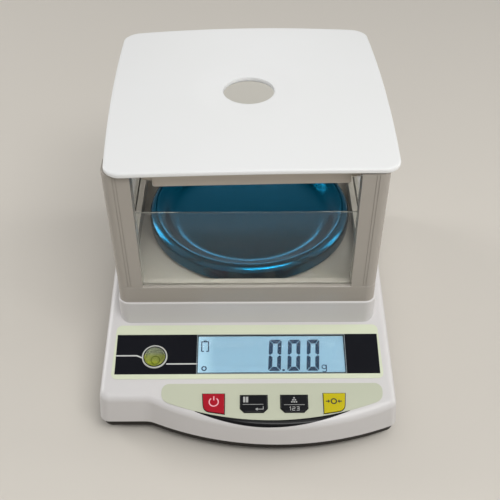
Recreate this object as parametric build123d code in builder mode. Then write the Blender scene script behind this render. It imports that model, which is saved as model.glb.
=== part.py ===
"""Analytical balance: a bench scale whose round pan stands under a glass draught shield.

Frame: the origin is on the bench under the middle of the balance, +X to the user's right,
the display and keys face -Y, and +Z is up. All sizes are in millimetres.
"""

import os
from math import cos, radians, sin, sqrt, tan

from build123d import *

os.makedirs("parts", exist_ok=True)

# ---------------------------------------------------------------- driving dimensions
# Housing
flank_w = 10.5  # from the platform to the side at the seam
back_ledge = 16.5  # from the platform to the back at the seam
case_wall = 2.5
case_corner_r = 6.0
side_draft = 5.0  # degrees, on the sides and the back
shoulder_drop = 2.0  # from the platform to the flat top of the flanks
shoulder_r = 40.0
case_edge_r = 4.6
flat_recess = 17.3  # how far the short flat front stands behind the bulge
bulge_x = 18.2
bulge_r = 175.3
crease_r = 15.0

# Platform that carries the draught shield, centred on the pan
platform_margin = 1.0
platform_corner_r = 7.0
platform_h = 50.8  # above the seam
platform_edge_r = 0.8
spindle_hole_r = 18.0

# Sloping control panel
panel_slope = 15.0  # degrees
platform_face_h = 16.7  # from the panel's top edge up to the platform
film_t = 0.25
overlay_side = 9.0  # from the overlay's top corner to the side at the seam
overlay_flare = 1.15
overlay_gap = 1.9  # from the platform down to the overlay
overlay_h = 35.9
overlay_corner_r = 3.5
band_margin = 0.8
band_head = 6.5
band_foot = 3.0
lcd_x = 14.3
lcd_w = 88.0
lcd_edge = 0.5
lcd_lap = 2.0
lcd_glass_t = 1.8
backlight_t = 3.0
lcd_frame_t = 1.6
level_x = -55.1
level_drop = 1.9  # below the middle of the display
level_flange_r = 7.35
level_body_r = 6.6
level_bore_r = 5.6
level_depth = 7.0
level_floor = 1.5
level_flange_h = 0.75
level_crown = 0.6

# Keypad
keypad_gap = 3.2  # between the two overlays
keypad_half = 64.2
keypad_h = 22.9
keypad_end_h = 10.5  # down to where the ends meet the arc of the lower edge
ridge_gap = 3.9  # from the keypad's lowest point to the front edge
keypad_top_r = 4.5
keypad_low_r = 6.0
inlay_half = 42.3
inlay_w = 2.6
key_first_x = -19.6
key_pitch = 23.3
key_lift = 10.0  # from the keypad's lowest point up to the row of keys
key_travel = 0.6
key_rise = 0.9
key_gap = 0.3
key_edge_r = 0.5
key_flange = 0.9
key_flange_t = 1.8
outer_key_w = 12.6
outer_key_h = 12.4
outer_key_r = 4.0
inner_key_w = 15.4
inner_key_h = 10.5
inner_key_clip = 2.3
dome_base_r = 4.5
dome_taper = 30.0  # degrees

# Display board
board_t = 1.6
board_head = 0.3
board_neck = 3.0  # how far the wide part runs below the top of the keypad
board_foot_side = 9.5
board_foot_drop = 0.8
board_edge = 3.0  # from a screw to the board's edge
board_boss_gap = 1.2
board_boss_r = 2.5
board_screw_bite = 3.5

# Base
base_z = 7.0
base_floor_t = 2.5
base_h = 5.2  # from the base's underside to the seam
base_reveal = 0.8
base_foot_inset = 1.6
base_wall = 3.0
lip_h = 4.0
lip_t = 1.6
lip_gap = 0.15
plate_t = 3.0
plate_w = 40.0
plate_front = 56.5  # in front of the pan's axis
plate_back = 57.5  # behind it

# Housing screws, from below into bosses of the housing
housing_screw_side = 11.5
housing_screw_front = 31.5
housing_screw_back = 14.5
boss_r = 4.0
screw_r = 1.5
screw_gap = 0.15
screw_head_r = 2.9
screw_head_t = 1.1
housing_screw_len = 14.0

# Levelling feet
foot_side = 23.0
foot_front = 41.5
foot_back = 25.5
pad_r = 12.0
pad_t = 2.5
pad_socket_t = 1.5
wheel_r = 10.0
wheel_t = 2.3
wheel_notches = 16
wheel_notch_r = 0.9
stud_r = 3.0
stud_len = 15.0  # above the base's underside
running_gap = 0.05
nut_r = 5.0
nut_t = 9.0
foot_boss_r = 8.0

# Weighing cell
cell_w = 15.0
cell_len = 80.0
cell_h = 22.0
cell_foot_h = 7.5
cell_end = 20.0  # length of each clamped end
cell_window_r = 7.0
cell_window_span = 9.0
cell_screw_pitch = 10.0
cell_screw_r = 2.0
cell_head_r = 3.5
cell_head_t = 3.0
cell_screw_bite = 6.0
plate_screw_bite = 1.5
plate_screw_inset = 5.0
head_pad_t = 2.0
head_t = 4.0
head_over = 14.0
spindle_r = 6.0
stop_r = 3.0
stop_gap = 0.6
stop_pitch = 8.0

# Pan and its carrier
pan_r = 65.0
pan_clearance = 3.9  # from the pan to the rails of the shield
pan_crest_r = 61.0
pan_floor_r = 48.0
pan_floor_h = 5.6  # above the deck
pan_depth = 8.0
pan_skirt_drop = 3.0  # below the pan's floor
pan_t = 0.8
pan_bead = 5.0
pan_well_r = 5.0
pan_bead_r = 4.5
pan_lip_r = 3.6
spigot_r = 3.0
carrier_t = 2.0
carrier_arm_r = 42.0
carrier_arm_w = 9.0
carrier_hub_r = 14.0
cushion_r = 4.0
cushion_t = 1.3
cushion_ring_r = 36.0

# Draught shield
shield_corner_r = 5.75
shield_base_h = 12.0
rail_w = 7.7
deck_t = 2.0
rim_w = 2.1
pane_t = 2.0
groove_depth = 6.0
deck_hole_r = 15.0
post_leg_foot = 15.1
post_leg_top = 15.8
post_t = 7.7
post_lean = 1.1
post_r = 6.0
post_groove_w = 0.5
post_groove_depth = 0.35
post_groove_at = (6.6, 8.2)
post_h = 82.0
pane_lap = 7.4  # how far a pane runs into each post
pane_head_gap = 0.5
front_pane_h = 60.0
shield_screw_at = 36.0
shield_screw_bite = 5.0
shield_boss_h = 14.0

# Lid of the draught shield
lid_overhang = 4.5
lid_bow = 1.9
lid_corner_r = 9.0
lid_t = 3.0
lid_crown_r = 1380.0
lid_rise = 7.6  # from the posts to the crown
lid_hole_r = 15.0
dish_r = 30.0
dish_depth = 2.0
lid_edge_r = 1.2
skirt_gap = 0.8  # inside the posts
skirt_r = 13.5
skirt_wall = 2.5
skirt_drop = 12.5  # below the tops of the posts
lid_pad = 10.0
lid_pad_in = 5.5  # from the shield's outside to the middle of a pad
lid_lap = 1.0  # how far the skirt and pads run up into the lid

# Main board, battery and power inlet
main_board_gap = 6.0
main_board_w = 44.0
main_board_front = 52.5
main_board_len = 110.0
standoff_h = 6.0
standoff_r = 3.0
standoff_inset = 5.0
can_w = 22.0
can_h = 7.0
can_r = 1.0
can_x = -8.0
can_y = -20.0
plug_w = 20.0
plug_d = 7.0
plug_h = 9.0
plug_inset = 20.0
relay_w = 10.0
relay_d = 12.0
relay_inset = 18.0
relay_x = 8.0
capacitor_r = 5.0
capacitor_h = 12.6
capacitor_x = -10.0
capacitor_y = 23.0
capacitor_pitch = 14.0
battery_gap = 0.5
battery_w = 43.0
battery_front = 54.5
battery_len = 97.0
battery_h = 25.0
battery_r = 2.0
tab_w = 4.8
tab_t = 0.8
tab_len = 6.0
tab_z = 17.5
strap_w = 16.0
strap_t = 1.0
strap_tab = 4.5
inlet_x = 50.0
inlet_z = 26.0
inlet_r = 5.5
inlet_pin_r = 1.0
inlet_bore_r = 3.2
inlet_bore_depth = 9.0
inlet_body_w = 14.0
inlet_body_d = 12.0
inlet_body_h = 11.0
inlet_gap = 0.5

# ---------------------------------------------------------------- derived places
slope = radians(panel_slope)
panel_len = overlay_gap + overlay_h + keypad_gap + keypad_h + ridge_gap
shield_size = 2 * (pan_r + pan_clearance + rail_w)
platform_size = shield_size + 2 * platform_margin
case_width = platform_size + 2 * flank_w
case_depth = panel_len * cos(slope) + platform_size + back_ledge
half_w = case_width / 2
half_d = case_depth / 2
pan_y = half_d - back_ledge - platform_size / 2
flat_front_y = flat_recess - half_d
bulge_centre_y = bulge_r - half_d
crease_x = bulge_x - sqrt(bulge_r**2 - (bulge_centre_y - flat_front_y) ** 2)
right_front_y = bulge_centre_y - sqrt(bulge_r**2 - (half_w - bulge_x) ** 2)
platform_front_y = pan_y - platform_size / 2

# Heights on the panel count down the slope from the platform
overlay_top = -overlay_gap
overlay_bottom = overlay_top - overlay_h
band_top = overlay_top - band_head
band_bottom = overlay_bottom + band_foot
lcd_v = (band_top + band_bottom) / 2
lcd_h = band_top - band_bottom - 2 * lcd_edge
level_v = lcd_v - level_drop
keypad_top = overlay_bottom - keypad_gap
keypad_shoulder = keypad_top - keypad_end_h
keypad_belly = keypad_top - keypad_h
key_row = keypad_belly + key_lift
lcd_frame_half = lcd_w / 2 + lcd_lap + lcd_frame_t
board_boss_x = lcd_frame_half + board_boss_gap + board_boss_r
board_top = lcd_v + lcd_h / 2 + lcd_lap + lcd_frame_t + board_head
board_step = keypad_top - board_neck
board_bottom = key_row - dome_base_r - board_foot_drop

seam_z = base_z + base_h
platform_z = seam_z + platform_h
shoulder_z = platform_z - shoulder_drop
panel_foot_z = platform_z - platform_face_h
shoulder_y = platform_front_y + (shoulder_z - panel_foot_z) / tan(slope)
base_top_z = base_z + base_floor_t
plate_top_z = base_top_z + plate_t
shield_z = platform_z + shield_base_h
deck_z = platform_z + deck_t
groove_z = shield_z - groove_depth
post_top_z = shield_z + post_h
cell_z = plate_top_z + cell_foot_h
cell_top_z = cell_z + cell_h
pan_floor_z = deck_z + pan_floor_h
pan_crest_z = pan_floor_z + pan_depth
pan_skirt_z = pan_floor_z - pan_skirt_drop
lid_top_z = post_top_z + lid_rise
skirt_z = post_top_z - skirt_drop
stud_top = base_z + stud_len
cell_y0 = pan_y - cell_len / 2
cell_y1 = pan_y + cell_len / 2
carrier_z = pan_floor_z - pan_t - cushion_t - carrier_t
glass_back = case_wall + lcd_glass_t
backlight_back = glass_back + backlight_t
board_back = backlight_back + board_t
key_flange_w0 = case_wall + 0.1
key_flange_back = key_flange_w0 + key_flange_t
belly_sag = keypad_shoulder - keypad_belly
belly_r = (keypad_half**2 + belly_sag**2) / (2 * belly_sag)
key_xs = [key_first_x + i * key_pitch for i in range(4)]
key_names = ["power_key", "unit_key", "count_key", "tare_key"]

foot_places = {
    "front_left": (foot_side - half_w, foot_front - half_d),
    "front_right": (half_w - foot_side, foot_front - half_d),
    "rear_left": (foot_side - half_w, half_d - foot_back),
    "rear_right": (half_w - foot_side, half_d - foot_back),
}
plate_y0 = pan_y - plate_front
plate_y1 = pan_y + plate_back
plate_screw_places = [
    (x, y)
    for x in (plate_screw_inset - plate_w / 2, plate_w / 2 - plate_screw_inset)
    for y in (plate_y0 + plate_screw_inset, plate_y1 - plate_screw_inset)
]
housing_screw_places = [
    (x, y)
    for x in (housing_screw_side - half_w, half_w - housing_screw_side)
    for y in (housing_screw_front - half_d, half_d - housing_screw_back)
]
shield_screw_places = [
    (x, pan_y + y) for x in (-shield_screw_at, shield_screw_at) for y in (-shield_screw_at, shield_screw_at)
]
board_screw_places = [
    (x, v)
    for x in (lcd_x - board_boss_x, lcd_x + board_boss_x)
    for v in (board_top - board_edge, board_step + board_edge)
]
main_board_x = plate_w / 2 + main_board_gap + main_board_w / 2
main_board_y = pan_y - main_board_front + main_board_len / 2
standoff_places = [
    (main_board_x + i * (main_board_w / 2 - standoff_inset), main_board_y + j * (main_board_len / 2 - standoff_inset))
    for i in (-1, 1)
    for j in (-1, 1)
]

back_inner_y = half_d - (inlet_z + inlet_body_h / 2 - seam_z) * tan(radians(side_draft)) - case_wall
inlet_y = back_inner_y - inlet_gap - inlet_body_d / 2


def panel(depth=0.0):
    """The control panel's plane, or one that lies depth below it inside the housing."""
    surface = Plane(
        origin=(0, platform_front_y, panel_foot_z),
        x_dir=(1, 0, 0),
        z_dir=(0, -sin(slope), cos(slope)),
    )
    return surface.offset(-depth)


def save(name, part):
    """Label a finished piece and write it as its own STEP file."""
    part.label = name
    export_step(part, f"parts/{name}.step")


# ---------------------------------------------------------------- housing
def case_outline(inset, corner_r=0.0):
    """Plan of the housing at its seam, moved inwards by inset; corner_r rounds its five corners."""
    with BuildSketch() as outline:
        with BuildLine():
            Polyline(
                (crease_x, flat_front_y),
                (-half_w, flat_front_y),
                (-half_w, half_d),
                (half_w, half_d),
                (half_w, right_front_y),
            )
            ThreePointArc((half_w, right_front_y), (bulge_x, -half_d), (crease_x, flat_front_y))
        make_face()
        if inset:
            offset(amount=-inset, kind=Kind.INTERSECTION)
        if corner_r:
            crease_first = outline.vertices().sort_by_distance((crease_x, flat_front_y + inset, 0))
            fillet(crease_first[1:], corner_r)
            crease_first = outline.vertices().sort_by_distance((crease_x, flat_front_y + inset, 0))
            fillet(crease_first[0], crease_r)
    return outline.sketch


def case_block(inset):
    """The housing's solid form, moved inwards by inset: drafted sides, vertical front, sloping top."""
    run_out = 40.0  # the drafted block runs past the front, which the outline then cuts
    top = platform_z - inset
    drop = inset / cos(slope)
    with BuildPart() as block:
        with BuildSketch(Plane.XY.offset(seam_z)):
            with Locations((0, -run_out / 2)):
                Rectangle(case_width - 2 * inset, case_depth - 2 * inset + run_out)
        extrude(amount=top - seam_z, taper=side_draft)
        with BuildSketch(Plane.XY.offset(seam_z)):
            add(case_outline(inset))
        extrude(amount=top - seam_z, mode=Mode.INTERSECT)
        with BuildSketch(Plane.YZ) as above:
            with BuildLine():
                front = -case_depth
                front_z = panel_foot_z - drop + (front - platform_front_y) * tan(slope)
                bend_y = shoulder_y + (drop - inset) / tan(slope)
                Polyline(
                    (front, front_z),
                    (bend_y, shoulder_z - inset),
                    (case_depth, shoulder_z - inset),
                    (case_depth, 2 * platform_z),
                    (front, 2 * platform_z),
                    close=True,
                )
            make_face()
            bend = above.vertices().sort_by_distance((0, bend_y, shoulder_z - inset))
            fillet(bend[0], shoulder_r + inset)
        extrude(amount=case_width, both=True, mode=Mode.SUBTRACT)
        upright = block.edges().filter_by(lambda e: abs(e.tangent_at(0.5).Z) > 0.9)
        crease = upright.sort_by_distance((crease_x, flat_front_y + inset, seam_z))[0]
        fillet([e for e in upright if e != crease], case_corner_r - inset)
        upright = block.edges().filter_by(lambda e: abs(e.tangent_at(0.5).Z) > 0.9)
        crease = upright.sort_by_distance((crease_x, flat_front_y + inset, seam_z))[0]
        fillet(crease, crease_r + inset)
        if not inset:
            across = block.edges().filter_by(lambda e: abs(e.center().Y) < case_depth / 4)
            across = across.filter_by(Axis.X)
            rim = block.edges().filter_by(lambda e: e.center().Z > seam_z + 1 and abs(e.tangent_at(0.5).Z) < 0.8)
            fillet([e for e in rim if e not in across], case_edge_r)
        with BuildSketch(Plane.XY.offset(seam_z)):
            with Locations((0, pan_y)):
                RectangleRounded(platform_size - 2 * inset, platform_size - 2 * inset, platform_corner_r - inset)
        extrude(amount=top - seam_z)
    return block.part


def key_outline(index, grow=0.0):
    """Outline of one key about its own centre; the two outer keys are mirror images."""
    with BuildSketch() as outline:
        if index in (0, 3):
            side = 1 if index == 0 else -1
            w, h = outer_key_w / 2, outer_key_h / 2
            with BuildLine():
                Polyline(
                    (-side * w, h),
                    (side * w, h),
                    (side * w, -h),
                    (-side * (w - 0.8), -h + 1.9),
                    close=True,
                )
            make_face()
            low = outline.vertices().sort_by_distance((-side * w, -h, 0))[0]
            fillet(low, outer_key_r)
        else:
            w, h, c = inner_key_w / 2, inner_key_h / 2, inner_key_clip
            with BuildLine():
                Polyline(
                    (-w, h), (w, h), (w, -h + c), (w - c, -h), (-w + c, -h), (-w, -h + c), close=True
                )
            make_face()
        if grow:
            offset(amount=grow, kind=Kind.INTERSECTION)
    return outline.sketch


case_solid = case_block(0.0)
case_hollow = case_block(case_wall)

with BuildPart() as cavity:
    add(case_hollow)
    with Locations(*[(x, y, seam_z) for x, y in housing_screw_places]):
        Cylinder(boss_r, platform_z, align=(Align.CENTER, Align.CENTER, Align.MIN), mode=Mode.SUBTRACT)
    with Locations(*[(x, y, platform_z - shield_boss_h) for x, y in shield_screw_places]):
        Cylinder(boss_r, shield_boss_h, align=(Align.CENTER, Align.CENTER, Align.MIN), mode=Mode.SUBTRACT)
    with BuildSketch(panel(backlight_back)):
        with Locations(*board_screw_places):
            Circle(board_boss_r)
    extrude(amount=backlight_back, mode=Mode.SUBTRACT)

with BuildPart() as upper_housing:
    add(case_solid)
    fillet(upper_housing.faces().sort_by(Axis.Z)[-1].edges(), platform_edge_r)
    add(cavity.part, mode=Mode.SUBTRACT)
    with BuildSketch(Plane.XY.offset(base_top_z)):
        with Locations(*housing_screw_places):
            Circle(boss_r)
    extrude(amount=seam_z - base_top_z)
    with BuildSketch(Plane.XY.offset(base_top_z)):
        with Locations(*housing_screw_places):
            Circle(screw_r)
    extrude(amount=housing_screw_len, mode=Mode.SUBTRACT)
    with BuildSketch(Plane.XY.offset(platform_z)):
        with Locations((0, pan_y)):
            Circle(spindle_hole_r)
        with Locations(*shield_screw_places):
            Circle(screw_r)
    extrude(amount=-case_wall - shield_screw_bite, mode=Mode.SUBTRACT)
    with BuildSketch(panel(backlight_back)):
        with Locations(*board_screw_places):
            Circle(screw_r)
    extrude(amount=board_screw_bite, mode=Mode.SUBTRACT)
    with BuildSketch(panel()):
        with Locations((lcd_x, lcd_v)):
            Rectangle(lcd_w, lcd_h)
        with Locations((level_x, level_v)):
            Circle(level_body_r)
        for i, x in enumerate(key_xs):
            with Locations((x, key_row)):
                add(key_outline(i, key_gap))
    extrude(amount=-case_wall - 1.0, mode=Mode.SUBTRACT)
    with BuildSketch(Plane.XZ.offset(-half_d)):
        with Locations((inlet_x, inlet_z)):
            Circle(inlet_r)
    extrude(amount=inlet_body_d, mode=Mode.SUBTRACT)

with BuildPart() as lower_base:
    with BuildSketch(Plane.XY.offset(base_z)):
        add(case_outline(base_foot_inset, case_corner_r))
    with BuildSketch(Plane.XY.offset(seam_z)):
        add(case_outline(base_reveal, case_corner_r))
    loft(ruled=True)
    with BuildSketch(Plane.XY.offset(base_top_z)):
        add(case_outline(case_wall + lip_gap + lip_t, case_corner_r - case_wall))
    extrude(amount=seam_z - base_top_z, mode=Mode.SUBTRACT)
    with BuildSketch(Plane.XY.offset(seam_z)):
        add(case_outline(case_wall + lip_gap + lip_h * tan(radians(side_draft)), case_corner_r - case_wall))
        add(case_outline(case_wall + lip_gap + lip_t, case_corner_r - case_wall), mode=Mode.SUBTRACT)
    extrude(amount=lip_h)
    with BuildSketch(Plane.XY.offset(base_top_z)):
        with Locations(*foot_places.values()):
            Circle(foot_boss_r)
    extrude(amount=base_z + nut_t - base_top_z)
    with BuildSketch(Plane.XY.offset(base_top_z)):
        with Locations(*standoff_places):
            Circle(standoff_r)
    extrude(amount=standoff_h)
    with BuildSketch(Plane.XY.offset(base_top_z)):
        with Locations((inlet_x, inlet_y)):
            Rectangle(inlet_body_w, inlet_body_d)
    extrude(amount=inlet_z - inlet_body_h / 2 - base_top_z)
    with Locations(*[(x, y, base_z) for x, y in foot_places.values()]):
        Cylinder(nut_r, nut_t, align=(Align.CENTER, Align.CENTER, Align.MIN), mode=Mode.SUBTRACT)
    with BuildSketch(Plane.XY.offset(base_top_z)):
        with Locations(*plate_screw_places):
            Circle(screw_r)
    extrude(amount=-plate_screw_bite, mode=Mode.SUBTRACT)
    with BuildSketch(Plane.XY.offset(base_top_z + standoff_h)):
        with Locations(*standoff_places):
            Circle(screw_r)
    extrude(amount=-standoff_h, mode=Mode.SUBTRACT)
    with BuildSketch(Plane.XY.offset(base_z)):
        with Locations(*housing_screw_places):
            Circle(screw_r)
    extrude(amount=base_floor_t, mode=Mode.SUBTRACT)
    with BuildSketch(Plane.XY.offset(base_z)):
        with Locations(*housing_screw_places):
            Circle(screw_head_r)
    extrude(amount=screw_head_t, mode=Mode.SUBTRACT)

save("upper_housing", upper_housing.part)
save("lower_base", lower_base.part)


def screws(name, plane, places, length, head_r=screw_head_r, head_t=screw_head_t, shank_r=screw_r):
    """A group of like screws: heads start on the plane and rise along its normal, shanks go the other way."""
    with BuildPart() as group:
        with BuildSketch(plane):
            with Locations(*places):
                Circle(head_r)
        extrude(amount=head_t)
        with BuildSketch(plane.offset(head_t)):
            with Locations(*places):
                RegularPolygon(head_r * 0.45, 6)
        extrude(amount=-head_t * 0.6, mode=Mode.SUBTRACT)
        with BuildSketch(plane):
            with Locations(*places):
                Circle(shank_r)
        extrude(amount=-length)
    save(name, group.part)


def turned_over(plane):
    """The same plane facing the other way, with X kept and Y reversed."""
    return Plane(origin=plane.origin, x_dir=plane.x_dir, z_dir=-plane.z_dir)


def mirrored(places):
    """Places as they read on a plane that has been turned over."""
    return [(x, -y) for x, y in places]


screws(
    "housing_screws",
    turned_over(Plane.XY.offset(base_z + screw_head_t)),
    mirrored(housing_screw_places),
    housing_screw_len,
)

# ---------------------------------------------------------------- control panel
overlay_half = half_w - overlay_side
with BuildPart() as display_overlay:
    with BuildSketch(panel()) as film:
        with BuildLine():
            Polyline(
                (-overlay_half, overlay_top),
                (overlay_half, overlay_top),
                (overlay_half + overlay_flare, overlay_bottom),
                (-overlay_half - overlay_flare, overlay_bottom),
                close=True,
            )
        make_face()
        fillet(film.vertices(), overlay_corner_r)
        with Locations((0, (band_top + band_bottom) / 2)):
            Rectangle(2 * (overlay_half - band_margin), band_top - band_bottom, mode=Mode.SUBTRACT)
    extrude(amount=film_t)
save("display_overlay", display_overlay.part)

with BuildPart() as display_band:
    with BuildSketch(panel()):
        with Locations((0, (band_top + band_bottom) / 2)):
            Rectangle(2 * (overlay_half - band_margin), band_top - band_bottom)
        with Locations((lcd_x, lcd_v)):
            Rectangle(lcd_w, lcd_h, mode=Mode.SUBTRACT)
        with Locations((level_x, level_v)):
            Circle(level_body_r, mode=Mode.SUBTRACT)
    extrude(amount=film_t)
save("display_band", display_band.part)

with BuildPart() as display_window:
    with BuildSketch(panel(case_wall)):
        with Locations((lcd_x, lcd_v)):
            Rectangle(lcd_w, lcd_h)
    extrude(amount=case_wall + film_t)
save("display_window", display_window.part)

with BuildPart() as lcd_glass:
    with BuildSketch(panel(glass_back)):
        with Locations((lcd_x, lcd_v)):
            Rectangle(lcd_w + 2 * lcd_lap, lcd_h + 2 * lcd_lap)
    extrude(amount=lcd_glass_t)
save("lcd_glass", lcd_glass.part)

with BuildPart() as lcd_backlight:
    with BuildSketch(panel(backlight_back)):
        with Locations((lcd_x, lcd_v)):
            Rectangle(lcd_w + 2 * lcd_lap, lcd_h + 2 * lcd_lap)
    extrude(amount=backlight_t)
save("lcd_backlight", lcd_backlight.part)

with BuildPart() as lcd_frame:
    with BuildSketch(panel(backlight_back)):
        with Locations((lcd_x, lcd_v)):
            grow = 2 * (lcd_lap + lcd_frame_t)
            Rectangle(lcd_w + grow, lcd_h + grow)
            Rectangle(lcd_w + 2 * lcd_lap, lcd_h + 2 * lcd_lap, mode=Mode.SUBTRACT)
    extrude(amount=lcd_glass_t + backlight_t)
save("lcd_frame", lcd_frame.part)

with BuildPart() as level_cup:
    with BuildSketch(panel(level_depth)):
        with Locations((level_x, level_v)):
            Circle(level_body_r)
    extrude(amount=level_depth + film_t)
    with BuildSketch(panel(-film_t)):
        with Locations((level_x, level_v)):
            Circle(level_flange_r)
    extrude(amount=level_flange_h)
    with BuildSketch(panel(-film_t - level_flange_h)):
        with Locations((level_x, level_v)):
            Circle(level_bore_r)
    extrude(amount=level_floor - level_depth - film_t - level_flange_h, mode=Mode.SUBTRACT)
save("level_cup", level_cup.part)

with BuildPart() as level_fluid:
    with BuildSketch(panel(level_depth - level_floor)):
        with Locations((level_x, level_v)):
            Circle(level_bore_r)
    extrude(amount=level_depth - level_floor)
save("level_fluid", level_fluid.part)

with BuildPart() as level_lens:
    with BuildSketch(panel()):
        with Locations((level_x, level_v)):
            Circle(level_bore_r)
    extrude(amount=film_t + level_flange_h + level_crown)
    crown_face = level_lens.faces().sort_by(Axis(panel().origin, panel().z_dir))[-1]
    fillet(crown_face.edges(), 1.3 * level_crown)
save("level_lens", level_lens.part)


belly = (lcd_x, keypad_belly)

with BuildPart() as keypad_overlay:
    with BuildSketch(panel()) as film:
        with BuildLine():
            left, right = lcd_x - keypad_half, lcd_x + keypad_half
            Polyline((left, keypad_shoulder), (left, keypad_top), (right, keypad_top), (right, keypad_shoulder))
            ThreePointArc((right, keypad_shoulder), belly, (left, keypad_shoulder))
        make_face()
        corners = film.vertices().sort_by(Axis(panel().origin, panel().y_dir))
        fillet(corners[2:], keypad_top_r)
        corners = film.vertices().sort_by(Axis(panel().origin, panel().y_dir))
        fillet(corners[:2], keypad_low_r)
        for i, x in enumerate(key_xs):
            with Locations((x, key_row)):
                add(key_outline(i, key_gap), mode=Mode.SUBTRACT)
    extrude(amount=film_t)
save("keypad_overlay", keypad_overlay.part)

with BuildPart() as front_inlay:
    with BuildSketch(panel()):
        with BuildLine():
            tip_v = keypad_belly + belly_r - sqrt(belly_r**2 - inlay_half**2)
            left_tip, right_tip = (lcd_x - inlay_half, tip_v), (lcd_x + inlay_half, tip_v)
            ThreePointArc(left_tip, belly, right_tip)
            ThreePointArc(right_tip, (lcd_x, keypad_belly - inlay_w), left_tip)
        make_face()
    extrude(amount=film_t)
save("front_inlay", front_inlay.part)

for i, name in enumerate(key_names):
    with BuildPart() as key:
        with BuildSketch(panel(key_flange_back)):
            with Locations((key_xs[i], key_row)):
                add(key_outline(i, key_flange))
        extrude(amount=key_flange_t)
        with BuildSketch(panel(key_flange_w0)):
            with Locations((key_xs[i], key_row)):
                add(key_outline(i))
        extrude(amount=key_flange_w0 + film_t + key_rise)
        top = key.faces().sort_by(Axis(panel().origin, panel().z_dir))[-1]
        fillet(top.edges(), key_edge_r)
    save(name, key.part)

dome_places = [(x, key_row) for x in key_xs]
dome_h = backlight_back - key_flange_back
with BuildPart() as key_domes:
    with BuildSketch(panel(backlight_back)):
        with Locations(*dome_places):
            Circle(dome_base_r)
    extrude(amount=dome_h, taper=dome_taper)
save("key_domes", key_domes.part)

board_half = board_boss_x + board_edge
with BuildPart() as display_board:
    with BuildSketch(panel(board_back)):
        with BuildLine():
            Polyline(
                (lcd_x - board_half, board_top),
                (lcd_x + board_half, board_top),
                (lcd_x + board_half, board_step),
                (key_xs[-1] + board_foot_side, board_step),
                (key_xs[-1] + board_foot_side, board_bottom),
                (key_xs[0] - board_foot_side, board_bottom),
                (key_xs[0] - board_foot_side, board_step),
                (lcd_x - board_half, board_step),
                close=True,
            )
        make_face()
        with Locations(*board_screw_places):
            Circle(screw_r + screw_gap, mode=Mode.SUBTRACT)
    extrude(amount=board_t)
save("display_board", display_board.part)

screws("display_board_screws", turned_over(panel(board_back)), mirrored(board_screw_places), board_t + board_screw_bite)

# ---------------------------------------------------------------- weighing cell
cell_foot_screws = [(0, cell_y1 - cell_end / 2 + i * cell_screw_pitch / 2) for i in (-1, 1)]
cell_head_screws = [(0, cell_y0 + cell_end / 2 + i * cell_screw_pitch / 2) for i in (-1, 1)]

with BuildPart() as base_plate:
    with BuildSketch(Plane.XY.offset(base_top_z)):
        with Locations((0, (plate_y0 + plate_y1) / 2)):
            Rectangle(plate_w, plate_y1 - plate_y0)
        with Locations(*plate_screw_places):
            Circle(screw_r + screw_gap, mode=Mode.SUBTRACT)
    extrude(amount=plate_t)
    fillet(base_plate.edges().filter_by(Axis.Z).filter_by(GeomType.LINE), 3.0)
save("base_plate", base_plate.part)

screws("base_plate_screws", Plane.XY.offset(plate_top_z), plate_screw_places, plate_t + plate_screw_bite)

with BuildPart() as load_cell_foot:
    with BuildSketch(Plane.XY.offset(plate_top_z)):
        with Locations((0, cell_y1 - cell_end / 2)):
            Rectangle(cell_w, cell_end)
        with Locations(*cell_foot_screws):
            Circle(cell_screw_r, mode=Mode.SUBTRACT)
    extrude(amount=cell_z - plate_top_z)
save("load_cell_foot", load_cell_foot.part)

with BuildPart() as load_cell:
    with BuildSketch(Plane.YZ):
        with Locations((pan_y, cell_z + cell_h / 2)):
            Rectangle(cell_len, cell_h)
            with Locations((-cell_window_span, 0), (cell_window_span, 0)):
                Circle(cell_window_r, mode=Mode.SUBTRACT)
            Rectangle(2 * cell_window_span, cell_window_r, mode=Mode.SUBTRACT)
    extrude(amount=cell_w / 2, both=True)
    with BuildSketch(Plane.XY.offset(cell_z)):
        with Locations(*cell_foot_screws, *cell_head_screws):
            Circle(cell_screw_r + 2 * screw_gap)
    extrude(amount=cell_h, mode=Mode.SUBTRACT)
save("load_cell", load_cell.part)

screws(
    "load_cell_screws",
    Plane.XY.offset(cell_top_z),
    cell_foot_screws,
    cell_h + cell_screw_bite,
    cell_head_r,
    cell_head_t,
    cell_screw_r,
)

head_z = cell_top_z + head_pad_t
with BuildPart() as load_cell_head:
    with BuildSketch(Plane.XY.offset(cell_top_z)):
        with Locations((0, cell_y0 + cell_end / 2)):
            Rectangle(cell_w, cell_end)
    extrude(amount=head_pad_t)
    with BuildSketch(Plane.XY.offset(head_z)):
        with Locations((0, (cell_y0 + pan_y + head_over) / 2)):
            Rectangle(cell_w, pan_y + head_over - cell_y0)
    extrude(amount=head_t)
    with BuildSketch(Plane.XY.offset(head_z + head_t)):
        with Locations((0, pan_y)):
            Circle(spindle_r)
    extrude(amount=carrier_z - head_z - head_t)
    with BuildSketch(Plane.XY.offset(carrier_z)):
        with Locations((0, pan_y)):
            Circle(spigot_r)
    extrude(amount=carrier_t)
    with BuildSketch(Plane.XY.offset(cell_top_z)):
        with Locations(*cell_head_screws):
            Circle(cell_screw_r + screw_gap)
    extrude(amount=head_pad_t + head_t, mode=Mode.SUBTRACT)
save("load_cell_head", load_cell_head.part)

screws(
    "load_cell_head_screws",
    Plane.XY.offset(head_z + head_t),
    cell_head_screws,
    head_t + head_pad_t + cell_screw_bite,
    cell_head_r,
    cell_head_t,
    cell_screw_r,
)

with BuildPart() as overload_stops:
    with BuildSketch(Plane.XY.offset(plate_top_z)):
        with Locations(*[(x, cell_y0 + stop_r + 1.0) for x in (-stop_pitch / 2, stop_pitch / 2)]):
            Circle(stop_r)
    extrude(amount=cell_z - stop_gap - plate_top_z)
save("overload_stops", overload_stops.part)

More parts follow.
